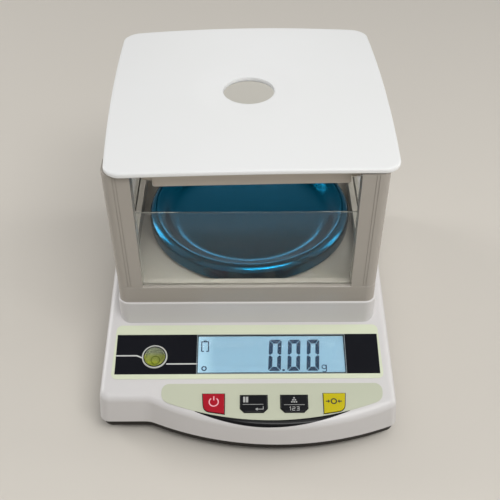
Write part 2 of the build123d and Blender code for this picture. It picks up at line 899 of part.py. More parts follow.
# ---------------------------------------------------------------- pan
with BuildPart() as pan_carrier:
    with BuildSketch(Plane.XY.offset(carrier_z)):
        with Locations((0, pan_y)):
            SlotOverall(2 * carrier_arm_r, carrier_arm_w)
            SlotOverall(2 * carrier_arm_r, carrier_arm_w, rotation=90)
            Circle(carrier_hub_r)
            Circle(spigot_r + running_gap, mode=Mode.SUBTRACT)
    extrude(amount=carrier_t)
save("pan_carrier", pan_carrier.part)

with BuildPart() as pan_cushions:
    with BuildSketch(Plane.XY.offset(carrier_z + carrier_t)):
        with Locations((0, pan_y)):
            with PolarLocations(cushion_ring_r, 4):
                Circle(cushion_r)
    extrude(amount=cushion_t)
save("pan_cushions", pan_cushions.part)

with BuildPart() as weighing_pan:
    with BuildSketch(Plane.XZ.offset(-pan_y)):
        with BuildLine() as section:
            upper_face = FilletPolyline(
                (0, pan_floor_z),
                (pan_floor_r, pan_floor_z),
                (pan_crest_r - pan_bead, pan_crest_z),
                (pan_r, pan_crest_z),
                (pan_r, pan_skirt_z),
                radius=[pan_well_r, pan_bead_r, pan_lip_r],
            )
            offset(upper_face, amount=-pan_t, side=Side.RIGHT)
        make_face()
    revolve(axis=Axis((0, pan_y, 0), (0, 0, 1)))
save("weighing_pan", weighing_pan.part)

# ---------------------------------------------------------------- draught shield
half_shield = shield_size / 2
pane_inset = rim_w + pane_t / 2
pane_span = shield_size - 2 * post_leg_foot + 2 * pane_lap

with BuildPart() as windshield_base:
    with BuildSketch(Plane.XY.offset(platform_z)):
        with Locations((0, pan_y)):
            RectangleRounded(shield_size, shield_size, shield_corner_r)
    extrude(amount=shield_base_h)
    with BuildSketch(Plane.XY.offset(deck_z)):
        with Locations((0, pan_y)):
            RectangleRounded(shield_size - 2 * rail_w, shield_size - 2 * rail_w, 1.5)
    extrude(amount=shield_base_h, mode=Mode.SUBTRACT)
    fillet(windshield_base.faces().sort_by(Axis.Z)[-1].outer_wire().edges(), 0.5)
    with BuildSketch(Plane.XY.offset(groove_z)):
        with Locations((0, pan_y)):
            Rectangle(shield_size - 2 * rim_w, shield_size - 2 * rim_w)
            Rectangle(
                shield_size - 2 * (rim_w + pane_t), shield_size - 2 * (rim_w + pane_t), mode=Mode.SUBTRACT
            )
    extrude(amount=groove_depth, mode=Mode.SUBTRACT)
    with BuildSketch(Plane.XY.offset(platform_z)):
        with Locations((0, pan_y)):
            Circle(deck_hole_r)
        with Locations(*shield_screw_places):
            Circle(screw_r + screw_gap)
    extrude(amount=deck_t, mode=Mode.SUBTRACT)
save("windshield_base", windshield_base.part)

screws("windshield_screws", Plane.XY.offset(deck_z), shield_screw_places, deck_t + case_wall + shield_screw_bite)


def post_section(height, leg, lean):
    """Section of the front left post at a height, its outer corner moved out by lean."""
    x = -half_shield - lean
    y = pan_y + x
    with BuildSketch(Plane.XY.offset(height)) as section:
        with BuildLine():
            Polyline(
                (x, y),
                (x + leg, y),
                (x + leg, y + post_t),
                (x + post_t, y + post_t),
                (x + post_t, y + leg),
                (x, y + leg),
                close=True,
            )
        make_face()
        fillet(section.vertices().sort_by_distance((x, y, height))[0], post_r)
        with Locations(*[(x + at, y) for at in post_groove_at]):
            Rectangle(post_groove_w, 2 * post_groove_depth, mode=Mode.SUBTRACT)
        with Locations(*[(x, y + at) for at in post_groove_at]):
            Rectangle(2 * post_groove_depth, post_groove_w, mode=Mode.SUBTRACT)
    return section.sketch


with BuildPart() as front_left_post:
    add(post_section(shield_z, post_leg_foot, 0.0))
    add(post_section(post_top_z, post_leg_top, post_lean))
    loft(ruled=True)
    slot_far = half_shield - post_leg_foot + pane_lap + running_gap
    slot_near = half_shield - post_leg_foot - 2.0
    slot_at = half_shield - pane_inset
    with BuildSketch(Plane.XY.offset(shield_z)):
        with Locations((-(slot_far + slot_near) / 2, pan_y - slot_at)):
            Rectangle(slot_far - slot_near, pane_t)
        with Locations((-slot_at, pan_y - (slot_far + slot_near) / 2)):
            Rectangle(pane_t, slot_far - slot_near)
    extrude(amount=post_h, mode=Mode.SUBTRACT)
save("front_left_post", front_left_post.part)

across_pan = Plane.XZ.offset(-pan_y)
with BuildPart() as front_right_post:
    add(mirror(front_left_post.part, about=Plane.YZ, mode=Mode.PRIVATE))
save("front_right_post", front_right_post.part)

with BuildPart() as rear_left_post:
    add(mirror(front_left_post.part, about=across_pan, mode=Mode.PRIVATE))
save("rear_left_post", rear_left_post.part)

with BuildPart() as rear_right_post:
    add(mirror(front_right_post.part, about=across_pan, mode=Mode.PRIVATE))
save("rear_right_post", rear_right_post.part)

pane_h = post_top_z - groove_z - pane_head_gap
panes = {
    "front_pane": (0, -1, front_pane_h),
    "rear_pane": (0, 1, pane_h),
    "left_pane": (-1, 0, pane_h),
    "right_pane": (1, 0, pane_h),
}
for name, (side_x, side_y, height) in panes.items():
    with BuildPart() as pane:
        with BuildSketch(Plane.XY.offset(groove_z)):
            with Locations((side_x * (half_shield - pane_inset), pan_y + side_y * (half_shield - pane_inset))):
                Rectangle(pane_span if side_y else pane_t, pane_t if side_y else pane_span)
        extrude(amount=height)
        chamfer(pane.edges().group_by(Axis.Z)[-1].filter_by(Axis.X if side_y else Axis.Y), 0.3)
    save(name, pane.part)


def lid_surface(radius, depth=0.0):
    """Height of the lid's crowned upper face at a radius from its middle, less depth."""
    return lid_top_z - lid_crown_r + sqrt(lid_crown_r**2 - radius**2) - depth


lid_size = shield_size + 2 * lid_overhang
skirt_size = shield_size - 2 * (post_t + skirt_gap)
lid_pad_at = half_shield - lid_pad_in

with BuildPart() as windshield_lid:
    far = lid_size * 0.75
    middle = (dish_r + far) / 2
    with BuildSketch(Plane.XZ.offset(-pan_y)):
        with BuildLine():
            ThreePointArc(
                (dish_r, lid_surface(dish_r)), (middle, lid_surface(middle)), (far, lid_surface(far))
            )
            Line((far, lid_surface(far)), (far, lid_surface(far, lid_t)))
            ThreePointArc(
                (far, lid_surface(far, lid_t)),
                (middle, lid_surface(middle, lid_t)),
                (dish_r, lid_surface(dish_r, lid_t)),
            )
            Polyline(
                (dish_r, lid_surface(dish_r, lid_t)),
                (lid_hole_r, lid_surface(lid_hole_r, lid_t + dish_depth)),
                (lid_hole_r, lid_surface(lid_hole_r, dish_depth)),
                (dish_r, lid_surface(dish_r)),
            )
        make_face()
    revolve(axis=Axis((0, pan_y, 0), (0, 0, 1)))
    with BuildSketch(Plane.XY.offset(post_top_z)) as outline:
        half, corner = lid_size / 2, lid_size / 2 - lid_bow
        with BuildLine():
            ThreePointArc((-corner, pan_y - corner), (0, pan_y - half), (corner, pan_y - corner))
            ThreePointArc((corner, pan_y - corner), (half, pan_y), (corner, pan_y + corner))
            ThreePointArc((corner, pan_y + corner), (0, pan_y + half), (-corner, pan_y + corner))
            ThreePointArc((-corner, pan_y + corner), (-half, pan_y), (-corner, pan_y - corner))
        make_face()
        fillet(outline.vertices(), lid_corner_r)
    extrude(amount=lid_top_z - post_top_z, mode=Mode.INTERSECT)
    outer = windshield_lid.edges().filter_by(
        lambda e: max(abs(e.center().X), abs(e.center().Y - pan_y)) > lid_size * 0.4
    )
    fillet(outer, lid_edge_r)
    lap_z = lid_surface(skirt_size / 2 * sqrt(2), lid_t) + lid_lap
    with BuildSketch(Plane.XY.offset(skirt_z)):
        with Locations((0, pan_y)):
            RectangleRounded(skirt_size, skirt_size, skirt_r)
            RectangleRounded(
                skirt_size - 2 * skirt_wall, skirt_size - 2 * skirt_wall, skirt_r - skirt_wall, mode=Mode.SUBTRACT
            )
    extrude(amount=lap_z - skirt_z)
    with BuildSketch(Plane.XY.offset(post_top_z)):
        with Locations((0, pan_y)):
            with GridLocations(2 * lid_pad_at, 2 * lid_pad_at, 2, 2):
                Rectangle(lid_pad, lid_pad)
    extrude(amount=lap_z - post_top_z)
save("windshield_lid", windshield_lid.part)

# ---------------------------------------------------------------- electronics and power
main_board_z = base_top_z + standoff_h
with BuildPart() as main_board:
    with BuildSketch(Plane.XY.offset(main_board_z)):
        with Locations((main_board_x, main_board_y)):
            Rectangle(main_board_w, main_board_len)
        with Locations(*standoff_places):
            Circle(screw_r + screw_gap, mode=Mode.SUBTRACT)
    extrude(amount=board_t)
    with BuildSketch(Plane.XY.offset(main_board_z + board_t)):
        with Locations((main_board_x + relay_x, main_board_y - main_board_len / 2 + plug_inset)):
            Rectangle(plug_w, plug_d)
        with Locations((main_board_x + relay_x, main_board_y + main_board_len / 2 - relay_inset)):
            Rectangle(relay_w, relay_d)
    extrude(amount=plug_h)
    with BuildSketch(Plane.XY.offset(main_board_z + board_t)):
        with Locations((main_board_x + capacitor_x, main_board_y + capacitor_y)):
            with GridLocations(0, capacitor_pitch, 1, 2):
                Circle(capacitor_r)
    extrude(amount=capacitor_h)
save("main_board", main_board.part)

screws(
    "main_board_screws",
    Plane.XY.offset(main_board_z + board_t),
    standoff_places,
    board_t + standoff_h,
)

with BuildPart() as converter_can:
    with BuildSketch(Plane.XY.offset(main_board_z + board_t)):
        with Locations((main_board_x + can_x, main_board_y + can_y)):
            RectangleRounded(can_w, can_w, can_r)
    extrude(amount=can_h)
    fillet(converter_can.faces().sort_by(Axis.Z)[-1].edges(), can_r / 2)
save("converter_can", converter_can.part)

battery_x = -plate_w / 2 - battery_gap - strap_tab - strap_t - battery_w / 2
battery_y = pan_y - battery_front + battery_len / 2
with BuildPart() as battery:
    with BuildSketch(Plane.XY.offset(base_top_z)):
        with Locations((battery_x, battery_y)):
            Rectangle(battery_w, battery_len)
    extrude(amount=battery_h)
    fillet(battery.edges().filter_by(Axis.Z), battery_r)
    with BuildSketch(Plane.XZ.offset(-battery_y - battery_len / 2)):
        with Locations((battery_x, base_top_z + tab_z)):
            with GridLocations(battery_w / 2, 0, 2, 1):
                Rectangle(tab_w, tab_t)
    extrude(amount=-tab_len)
save("battery", battery.part)

with BuildPart() as battery_strap:
    strap_half = battery_w / 2
    strap_top = base_top_z + battery_h
    with BuildSketch(Plane.XZ.offset(-battery_y)):
        with BuildLine():
            inner = strap_half
            outer = strap_half + strap_t
            foot = outer + strap_tab
            Polyline(
                (battery_x - foot, base_top_z),
                (battery_x - inner, base_top_z),
                (battery_x - inner, strap_top),
                (battery_x + inner, strap_top),
                (battery_x + inner, base_top_z),
                (battery_x + foot, base_top_z),
                (battery_x + foot, base_top_z + strap_t),
                (battery_x + outer, base_top_z + strap_t),
                (battery_x + outer, strap_top + strap_t),
                (battery_x - outer, strap_top + strap_t),
                (battery_x - outer, base_top_z + strap_t),
                (battery_x - foot, base_top_z + strap_t),
                close=True,
            )
        make_face()
    extrude(amount=strap_w / 2, both=True)
save("battery_strap", battery_strap.part)

with BuildPart() as dc_inlet:
    with BuildSketch(Plane.XY.offset(inlet_z - inlet_body_h / 2)):
        with Locations((inlet_x, inlet_y)):
            Rectangle(inlet_body_w, inlet_body_d)
    extrude(amount=inlet_body_h)
    barrel_y = half_d - (inlet_z + inlet_r - seam_z) * tan(radians(side_draft))
    with BuildSketch(Plane.XZ.offset(-barrel_y)):
        with Locations((inlet_x, inlet_z)):
            Circle(inlet_r - running_gap)
    extrude(amount=barrel_y - inlet_y)
    with BuildSketch(Plane.XZ.offset(-barrel_y)):
        with Locations((inlet_x, inlet_z)):
            Circle(inlet_bore_r)
            Circle(inlet_pin_r, mode=Mode.SUBTRACT)
    extrude(amount=inlet_bore_depth, mode=Mode.SUBTRACT)
save("dc_inlet", dc_inlet.part)

# ---------------------------------------------------------------- levelling feet
with BuildPart() as foot_nuts:
    with BuildSketch(Plane.XY.offset(base_z)):
        with Locations(*foot_places.values()):
            Circle(nut_r)
            Circle(stud_r + running_gap, mode=Mode.SUBTRACT)
    extrude(amount=nut_t)
save("foot_nuts", foot_nuts.part)

for corner, place in foot_places.items():
    with BuildPart() as foot_pad:
        with BuildSketch():
            with Locations(place):
                Circle(pad_r)
        extrude(amount=pad_t)
        fillet(foot_pad.edges().sort_by(Axis.Z)[0], 0.6)
        fillet(foot_pad.edges().sort_by(Axis.Z)[-1], 0.4)
        with BuildSketch(Plane.XY.offset(pad_t)):
            with Locations(place):
                Circle(stud_r + running_gap)
        extrude(amount=-pad_socket_t, mode=Mode.SUBTRACT)
    save(f"{corner}_foot_pad", foot_pad.part)

    with BuildPart() as foot_stud:
        with BuildSketch(Plane.XY.offset(pad_t)):
            with Locations(place):
                Circle(wheel_r)
                with PolarLocations(wheel_r, wheel_notches):
                    Circle(wheel_notch_r, mode=Mode.SUBTRACT)
        extrude(amount=wheel_t)
        with BuildSketch(Plane.XY.offset(pad_t - pad_socket_t)):
            with Locations(place):
                Circle(stud_r)
        extrude(amount=stud_top - pad_t + pad_socket_t)
    save(f"{corner}_foot_stud", foot_stud.part)
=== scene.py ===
# %% [markdown]
# # Dressing an analytical balance
# This lesson takes the construction model of a bench balance and gives it its looks: moulded plastics,
# printed films, a lit display, a clear draught shield and a pan of blue filmed steel.
# The construction model is loaded as it is and never moved. New pieces are added only where print,
# film or a soft moulded form shows more than the construction model holds.

# %% Load the construction model
import math

import bmesh
import bpy
from mathutils import Matrix, Vector


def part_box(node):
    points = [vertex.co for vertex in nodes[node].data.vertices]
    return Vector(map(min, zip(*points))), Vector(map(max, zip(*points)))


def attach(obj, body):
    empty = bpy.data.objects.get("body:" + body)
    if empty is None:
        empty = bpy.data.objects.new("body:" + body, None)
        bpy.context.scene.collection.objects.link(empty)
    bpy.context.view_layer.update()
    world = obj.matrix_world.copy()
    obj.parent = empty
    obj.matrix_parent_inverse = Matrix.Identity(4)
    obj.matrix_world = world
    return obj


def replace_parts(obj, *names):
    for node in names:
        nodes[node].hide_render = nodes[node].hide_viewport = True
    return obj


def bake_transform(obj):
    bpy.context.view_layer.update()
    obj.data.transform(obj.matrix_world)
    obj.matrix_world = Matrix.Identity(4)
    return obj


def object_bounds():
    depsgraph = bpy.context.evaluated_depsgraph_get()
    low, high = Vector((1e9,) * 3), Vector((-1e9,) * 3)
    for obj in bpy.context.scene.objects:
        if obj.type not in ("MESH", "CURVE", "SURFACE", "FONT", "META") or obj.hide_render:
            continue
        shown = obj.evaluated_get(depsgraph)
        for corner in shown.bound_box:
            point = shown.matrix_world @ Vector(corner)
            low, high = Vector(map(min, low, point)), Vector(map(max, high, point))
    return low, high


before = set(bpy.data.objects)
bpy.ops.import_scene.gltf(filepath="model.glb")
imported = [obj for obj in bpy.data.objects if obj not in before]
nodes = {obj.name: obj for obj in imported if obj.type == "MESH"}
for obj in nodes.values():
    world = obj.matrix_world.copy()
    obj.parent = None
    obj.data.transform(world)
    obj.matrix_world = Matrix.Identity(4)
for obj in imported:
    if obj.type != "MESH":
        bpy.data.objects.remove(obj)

cad_low, cad_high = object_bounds()
mm = 0.001
print(f"{len(nodes)} nodes, {[round(v / mm, 1) for v in cad_high - cad_low]} mm wide, deep and high")

# %% [markdown]
# ## Colours
# Paint and plastic charts give colours as sRGB hex values, but a shader works with linear light. A hex
# value could be turned by hand for each colour; one function does it the same way for all of them.

# %% Hex to linear


def linear(hex_colour):
    """Linear RGBA of an sRGB hex colour."""
    channels = [int(hex_colour[i : i + 2], 16) / 255 for i in (1, 3, 5)]
    return [c / 12.92 if c <= 0.04045 else ((c + 0.055) / 1.055) ** 2.4 for c in channels] + [1.0]


print("white plastic in linear light:", [round(c, 3) for c in linear("#e4e4e2")])

# %% [markdown]
# ## Shader nodes
# A finish is a small graph of nodes. It could be drawn by hand in the Shader Editor. Here one function
# adds a node, fills its sockets and sets its options, so that each finish reads as a recipe.

# %% Adding a node


def add(tree, kind, sockets=None, **options):
    """Adds a shader node; a socket's value may be a number, a colour or another node's output."""
    made = tree.nodes.new(kind)
    for name, value in options.items():
        setattr(made, name, value)
    for key, value in (sockets or {}).items():
        socket = made.inputs[key]
        if isinstance(value, bpy.types.NodeSocket):
            tree.links.new(value, socket)
        else:
            socket.default_value = value
    return made


print("nodes are added by", add.__name__)

# %% [markdown]
# ## A new finish
# Every finish starts from the Principled shader, which covers plastic, film, metal and clear sheet.
# Patterns such as grain are known by their real size, so a texture's scale is worked out from
# millimetres. A texture's scale counts features in a metre, so small features need large scales.

# %% Starting a finish


def per_mm(size):
    """Texture scale that makes one feature this many millimetres wide, in object space."""
    return 1 / (size * mm)


def finish(name, colour, **sockets):
    """A new material whose shader has these values; returns it, its tree and its shader."""
    made = bpy.data.materials.new(name)
    made.use_nodes = True
    shader = made.node_tree.nodes["Principled BSDF"]
    shader.inputs["Base Color"].default_value = linear(colour)
    for key, value in sockets.items():
        shader.inputs[key.replace("_", " ")].default_value = value
    made.diffuse_color = linear(colour)
    return made, made.node_tree, shader


print("grain 1 mm wide has the texture scale", per_mm(1))

# %% [markdown]
# ## Camera
# The balance is seen from the front and well above, as someone standing at the bench sees it.
# The lens is a moderate telephoto, so the lid spreads only a little wider than the base.
# A camera could be aimed with a Track To constraint. It looks down its own -Z axis, so here its matrix
# is built from right, up and back directions, which also gives the slight roll of a hand-held view.

# %% Camera
camera_at = Vector((2.1, -427.4, 427.6)) * mm
look_down, turn, roll = math.radians(40.78), math.radians(-0.02), math.radians(-0.30)
focal_length, sensor_width = 62.75, 36.0
nearest_seen = 10 * mm

level_ahead = Vector((math.sin(turn), math.cos(turn), 0))
forward = level_ahead * math.cos(look_down) - Vector((0, 0, math.sin(look_down)))
level_right = Vector((math.cos(turn), -math.sin(turn), 0))
level_up = level_right.cross(forward)
right = math.cos(roll) * level_right + math.sin(roll) * level_up
up = math.cos(roll) * level_up - math.sin(roll) * level_right
axes = Matrix((right, up, -forward)).transposed().to_4x4()

camera_data = bpy.data.cameras.new("bench_camera")
camera_data.lens, camera_data.sensor_width = focal_length, sensor_width
camera_data.clip_start = nearest_seen
camera = bpy.data.objects.new("bench_camera", camera_data)
bpy.context.scene.collection.objects.link(camera)
camera.matrix_world = Matrix.Translation(camera_at) @ axes
bpy.context.scene.camera = camera
print("camera looks down", round(math.degrees(look_down), 1), "degrees")

# %% [markdown]
# ## Floor
# It is there to carry the shadow. It could be an endless curved sheet, as in a studio; a flat grid of
# matt paint is enough under a pale world.

# %% Floor
scene = bpy.context.scene
scene.view_settings.view_transform = "Standard"
floor_half = 3.0  # metres

floor_mesh = bmesh.new()
bmesh.ops.create_grid(floor_mesh, x_segments=8, y_segments=8, size=floor_half)
floor_data = bpy.data.meshes.new("floor")
floor_mesh.to_mesh(floor_data)
floor_mesh.free()
floor = bpy.data.objects.new("floor", floor_data)
scene.collection.objects.link(floor)
floor_paint, _, _ = finish("floor_matt_paint", "#cbc5bb", Roughness=0.7)
floor_data.materials.append(floor_paint)
print("floor is", 2 * floor_half, "m wide")

# %% [markdown]
# ## World
# An even world fills the shadows. To the camera, in gloss and through clear parts it is a pale backdrop,
# a little brighter than the light it gives: the Light Path node tells these rays apart. A picture of a
# room could do this too, but its mirror image would show on the film. The backdrop stays well under
# white, so that its own mirror image doesn't bleach the print and the pan.

# %% World
fill_light, backdrop_light = 0.34, 0.55
world = bpy.data.worlds.new("studio")
world.use_nodes = True
scene.world = world
sky = world.node_tree
sky.nodes.clear()
rays = add(sky, "ShaderNodeLightPath")
seen = rays.outputs["Is Camera Ray"]
for also in ("Is Glossy Ray", "Is Transmission Ray"):
    seen = add(sky, "ShaderNodeMath", {0: seen, 1: rays.outputs[also]}, operation="MAXIMUM").outputs[0]
fill = add(sky, "ShaderNodeBackground", {"Color": linear("#f4f6fa"), "Strength": fill_light})
backdrop = add(sky, "ShaderNodeBackground", {"Color": linear("#e6e2dc"), "Strength": backdrop_light})
either = add(sky, "ShaderNodeMixShader", {0: seen, 1: fill.outputs[0], 2: backdrop.outputs[0]})
add(sky, "ShaderNodeOutputWorld", {"Surface": either.outputs[0]})
print("world has", len(sky.nodes), "nodes")

# %% [markdown]
# ## Lamps
# Area lamps give the soft shadows of a lit room; point lamps would draw hard ones. A large one overhead
# stands for the ceiling. A narrow one in front lights the upright faces and glints along the pan's rim,
# a faint one behind gleams on the rim's far side, and two long side lamps draw highlights down the
# rounded flanks.

# %% Lamps


def lamp(name, place, aim, width, height, power):
    """A rectangular soft lamp that points from place to aim, all in millimetres, power in watts."""
    light = bpy.data.lights.new(name, "AREA")
    light.shape = "RECTANGLE"
    light.size, light.size_y, light.energy = width * mm, height * mm, power
    made = bpy.data.objects.new(name, light)
    made.location = Vector(place) * mm
    made.rotation_mode = "QUATERNION"
    made.rotation_quaternion = (Vector(aim) - Vector(place)).to_track_quat("-Z", "Y")
    scene.collection.objects.link(made)


lamp("ceiling_lamp", (380, -330, 1350), (0, 0, 100), 1000, 900, 5.1)
lamp("front_lamp", (250, -700, 1030), (0, 0, 70), 800, 300, 7.0)
lamp("back_lamp", (0, 950, 520), (0, 0, 70), 320, 80, 0.4)
lamp("left_lamp", (-1000, 420, 380), (0, 0, 80), 350, 900, 5.2)
lamp("right_lamp", (1150, 180, 380), (0, 0, 80), 400, 900, 4.0)

# %% [markdown]
# ## Moulded plastics
# The case, shield and base are ABS, injected into steel moulds. A mould cavity is spark-eroded, which
# leaves the part with a fine matt grain, and thick and thin walls cool unevenly, so the colour drifts
# very slightly over a hand's breadth. Real grain is about 0.1 mm, too fine to show at this distance,
# so it is drawn at 0.6 mm. A painted picture could hold it, but noise in object space needs no
# unwrapping and stays with the part.

# %% Moulded plastic recipe


def marked(tree, shader, cloud, marks, tints, gloss, depth):
    """Lets a cloud mix a shader's colour from two hex tints, and marks set its gloss and bump."""
    sockets = {0: cloud.outputs["Fac"], 6: linear(tints[0]), 7: linear(tints[1])}
    tint = add(tree, "ShaderNodeMix", sockets, data_type="RGBA")
    tree.links.new(tint.outputs[2], shader.inputs["Base Color"])
    sockets = {"Value": marks.outputs["Fac"], "To Min": gloss[0], "To Max": gloss[1]}
    rough = add(tree, "ShaderNodeMapRange", sockets)
    tree.links.new(rough.outputs[0], shader.inputs["Roughness"])
    bump = add(tree, "ShaderNodeBump", {"Height": marks.outputs["Fac"], "Distance": depth * mm})
    tree.links.new(bump.outputs[0], shader.inputs["Normal"])


def surface(tree, shader, tints, drift, grain, depth, gloss):
    """A colour that drifts over drift millimetres, and a grain of that size and depth."""
    where = add(tree, "ShaderNodeTexCoord").outputs["Object"]
    cloud = add(tree, "ShaderNodeTexNoise", {"Vector": where, "Scale": per_mm(drift), "Detail": 3.0})
    pits = add(tree, "ShaderNodeTexNoise", {"Vector": where, "Scale": per_mm(grain), "Detail": 2.0})
    marked(tree, shader, cloud, pits, tints, gloss, depth)


abs_index = 1.53
hand_breadth = 70  # mm, over which a moulding's colour drifts


def moulded(name, tints, gloss=(0.36, 0.5), grain=0.6, depth=0.004, **sockets):
    """Injection moulded plastic with a spark-eroded grain."""
    made, tree, shader = finish(name, tints[0], IOR=abs_index, **sockets)
    surface(tree, shader, tints, hand_breadth, grain, depth, gloss)
    return made


# The case is a warm grey-white with a faint sheen
case_abs = moulded("case_abs_moulded", ("#cfcccb", "#c9c6c3"), (0.34, 0.46))
# The lid is whiter and satin. Its skirt and underside take a darker, warmer copy of the same plastic: painted
# shade, warmed as by light bounced up from below
lid_abs = moulded("lid_abs_satin_moulded", ("#e2e2e1", "#dfdfdc"), (0.4, 0.52))
lid_underside_painted_shade_abs = moulded("lid_underside_abs_painted_warm_shade_moulded", ("#cdc3b7", "#c6bcaf"), (0.45, 0.58))
# The shield's frame is a warm grey with more gloss, so its ribs catch lines of light
shield_abs = moulded("shield_abs_moulded", ("#a49e95", "#9f988f"), (0.2, 0.3))
# The base is dark brown and coarse, and mirrors little of the floor
base_abs = moulded(
    "base_abs_dark_brown_moulded", ("#1d1611", "#17120e"), (0.42, 0.56), 0.8, 0.01, Specular_IOR_Level=0.2
)
# Nylon and the battery's case are near black; the level's cup has the soft white of the shell
black_nylon = moulded("black_nylon_moulded", ("#17181a", "#1d1e20"), (0.4, 0.55))
battery_abs = moulded("battery_case_abs_moulded", ("#2c2e33", "#34363b"), (0.45, 0.6))
white_abs = moulded("level_cup_abs_moulded", ("#c3c4be", "#bbbcb5"), (0.3, 0.42))
# The inlay comes from a polished cavity: a wide, shallow grain and a sharp gloss
inlay_abs = moulded(
    "inlay_abs_gloss_black_moulded", ("#0d0d0f", "#121214"), (0.12, 0.2), 1.5, 0.002, Specular_IOR_Level=0.12
)
print("plastics:", [m.name for m in bpy.data.materials if m.name.endswith("moulded")])

# %% [markdown]
# ## Rubber
# The feet, the cushions under the pan and the key mat are elastomers, pressed in a hot mould. They have
# no gloss to speak of, dark rubber has a soft bloom, and the silicone of the key mat lets a little light
# in. They could have a shader of their own, but the moulded recipe with more roughness gives all this.

# %% Rubber finishes
foot_rubber = moulded("foot_rubber_pressed", ("#1b1b1b", "#262625"), (0.7, 0.85), 0.9, 0.015)
cushion_rubber = moulded("cushion_rubber_pressed", ("#5b5d5c", "#666866"), (0.6, 0.75), 0.9, 0.01)
dome_silicone = moulded(
    "key_mat_silicone_pressed", ("#8d9296", "#9a9ea2"), (0.45, 0.55), Subsurface_Weight=0.3
)
print("rubbers:", foot_rubber.name, cushion_rubber.name, dome_silicone.name)

# %% [markdown]
# ## Printed films
# The panel's overlays and its keys are polyester film, printed on the back and textured on the front,
# so the colour lies under a thin clear layer. Two meshes could stand for print and film. A diffuse
# print with a coat on top does it in one: the coat gives the soft sheen, and a fine orange peel about
# 1.2 mm across breaks it up.

# %% Film recipe
film_drift, orange_peel = 45, 1.2  # mm


def film(name, tints, coat_roughness, gloss=(0.42, 0.54), depth=0.003, sheen=0.3):
    """Back-printed polyester film under a clear textured face."""
    coat = {"Specular_IOR_Level": sheen, "Coat_Weight": sheen, "Coat_Roughness": coat_roughness}
    made, tree, shader = finish(name, tints[0], **coat)
    surface(tree, shader, tints, film_drift, orange_peel, depth, gloss)
    return made


# The two pale films are textured and dull; the black band is smooth, almost without a sheen
overlay_film = film("overlay_film_straw_printed", ("#d2d7bd", "#ccd1b7"), 0.3)
keypad_film = film("keypad_film_olive_printed", ("#bcbfa9", "#b6b9a3"), 0.35)
band_film = film("band_film_black_printed", ("#131418", "#191a1f"), 0.08, (0.25, 0.35), 0.001, 0.03)
print("panel films:", overlay_film.name, keypad_film.name, band_film.name)

# %% [markdown]
# ## Key films and inks
# The keys are the same film, embossed from behind and glossier. The signs are screen printed ink, dull
# and a little uneven. Ink could be a mask in the film's own shader; a finish of its own lets raised
# shapes carry it later.

# %% Key films and inks
red_film = film("key_film_red_printed", ("#a61828", "#9e1424"), 0.16, (0.14, 0.2), sheen=0.12)
black_film = film("key_film_black_printed", ("#0d0e12", "#121317"), 0.14, (0.14, 0.2), sheen=0.14)
yellow_film = film("key_film_yellow_printed", ("#c1b318", "#baab10"), 0.16, (0.14, 0.2), sheen=0.1)
white_ink = film("ink_white_screen_printed", ("#cccdca", "#c3c4c1"), 0.3)
grey_ink = film("ink_light_grey_screen_printed", ("#a9a9a6", "#9f9f9c"), 0.3)
line_ink = film("ink_blue_grey_screen_printed", ("#8d999c", "#869295"), 0.3)
dark_ink = film("ink_dark_screen_printed", ("#1c1a10", "#24210f"), 0.3)
target_ink = film("ink_green_screen_printed", ("#6c7a20", "#647218"), 0.3)
rose_ink = film("ink_rose_screen_printed", ("#eaadb4", "#e3a1a9"), 0.3)
print("films and inks:", [m.name for m in bpy.data.materials if m.name.endswith("printed")])

# %% [markdown]
# ## Clear parts
# The panes and the display window are acrylic sheet, PMMA. Its index is 1.49, but the panes wear an
# anti-glare film, so they are given 1.2 and mirror little of the keys in front of them. Wiping leaves
# a thin haze in long streaks: a few hundredths less transmission, which shows as white diffuse.
# Cycles casts a black shadow under clear plastic unless caustics are traced, so to shadow rays, which
# the Light Path node picks out, the sheet is plain transparent and the lamps light what lies behind.

# %% Acrylic recipe
haze_patch = 14  # mm


def acrylic(name, colour, index, clear, gloss, streak=(1, 1, 1)):
    """Clear plastic with wiped haze; clear is the range of transmission, streak stretches the haze."""
    made, tree, shader = finish(name, colour, IOR=index)
    where = add(tree, "ShaderNodeTexCoord").outputs["Object"]
    wiped = add(tree, "ShaderNodeMapping", {"Vector": where, "Scale": streak})
    sockets = {"Vector": wiped.outputs[0], "Scale": per_mm(haze_patch), "Detail": 4.0}
    haze = add(tree, "ShaderNodeTexNoise", sockets)
    for socket, ends in (("Transmission Weight", clear), ("Roughness", gloss)):
        sockets = {"Value": haze.outputs["Fac"], "To Min": ends[0], "To Max": ends[1]}
        tree.links.new(add(tree, "ShaderNodeMapRange", sockets).outputs[0], shader.inputs[socket])
    rays = add(tree, "ShaderNodeLightPath")
    open_way = add(tree, "ShaderNodeBsdfTransparent", {"Color": linear("#f4f6f4")})
    sockets = {0: rays.outputs["Is Shadow Ray"], 1: shader.outputs[0], 2: open_way.outputs[0]}
    both = add(tree, "ShaderNodeMixShader", sockets)
    tree.links.new(both.outputs[0], tree.nodes["Material Output"].inputs["Surface"])
    return made


# A pane's haze lies in streaks five times as long as they are high, and its sawn edge is frosted
pane_acrylic = acrylic("pane_acrylic_anti_glare", "#fbfdfc", 1.2, (0.975, 0.997), (0.0, 0.03), (0.2, 0.2, 1))
edge_acrylic = acrylic("pane_edge_acrylic_sawn", "#e4e8e6", 1.2, (0.97, 0.99), (0.12, 0.22))
window_acrylic = acrylic("window_acrylic_polished", "#fafcfd", 1.3, (0.985, 1.0), (0.0, 0.006))
print("clear sheet:", pane_acrylic.name, edge_acrylic.name, window_acrylic.name)

# %% [markdown]
# ## Spirit in the vial
# The level's vial holds yellow-green spirit. Where the vial leans back under its lens the tint thins
# out to grey. Two liquids could be modelled for that; a blend along the part's own Y axis is enough,
# and it stays with the part from any side.

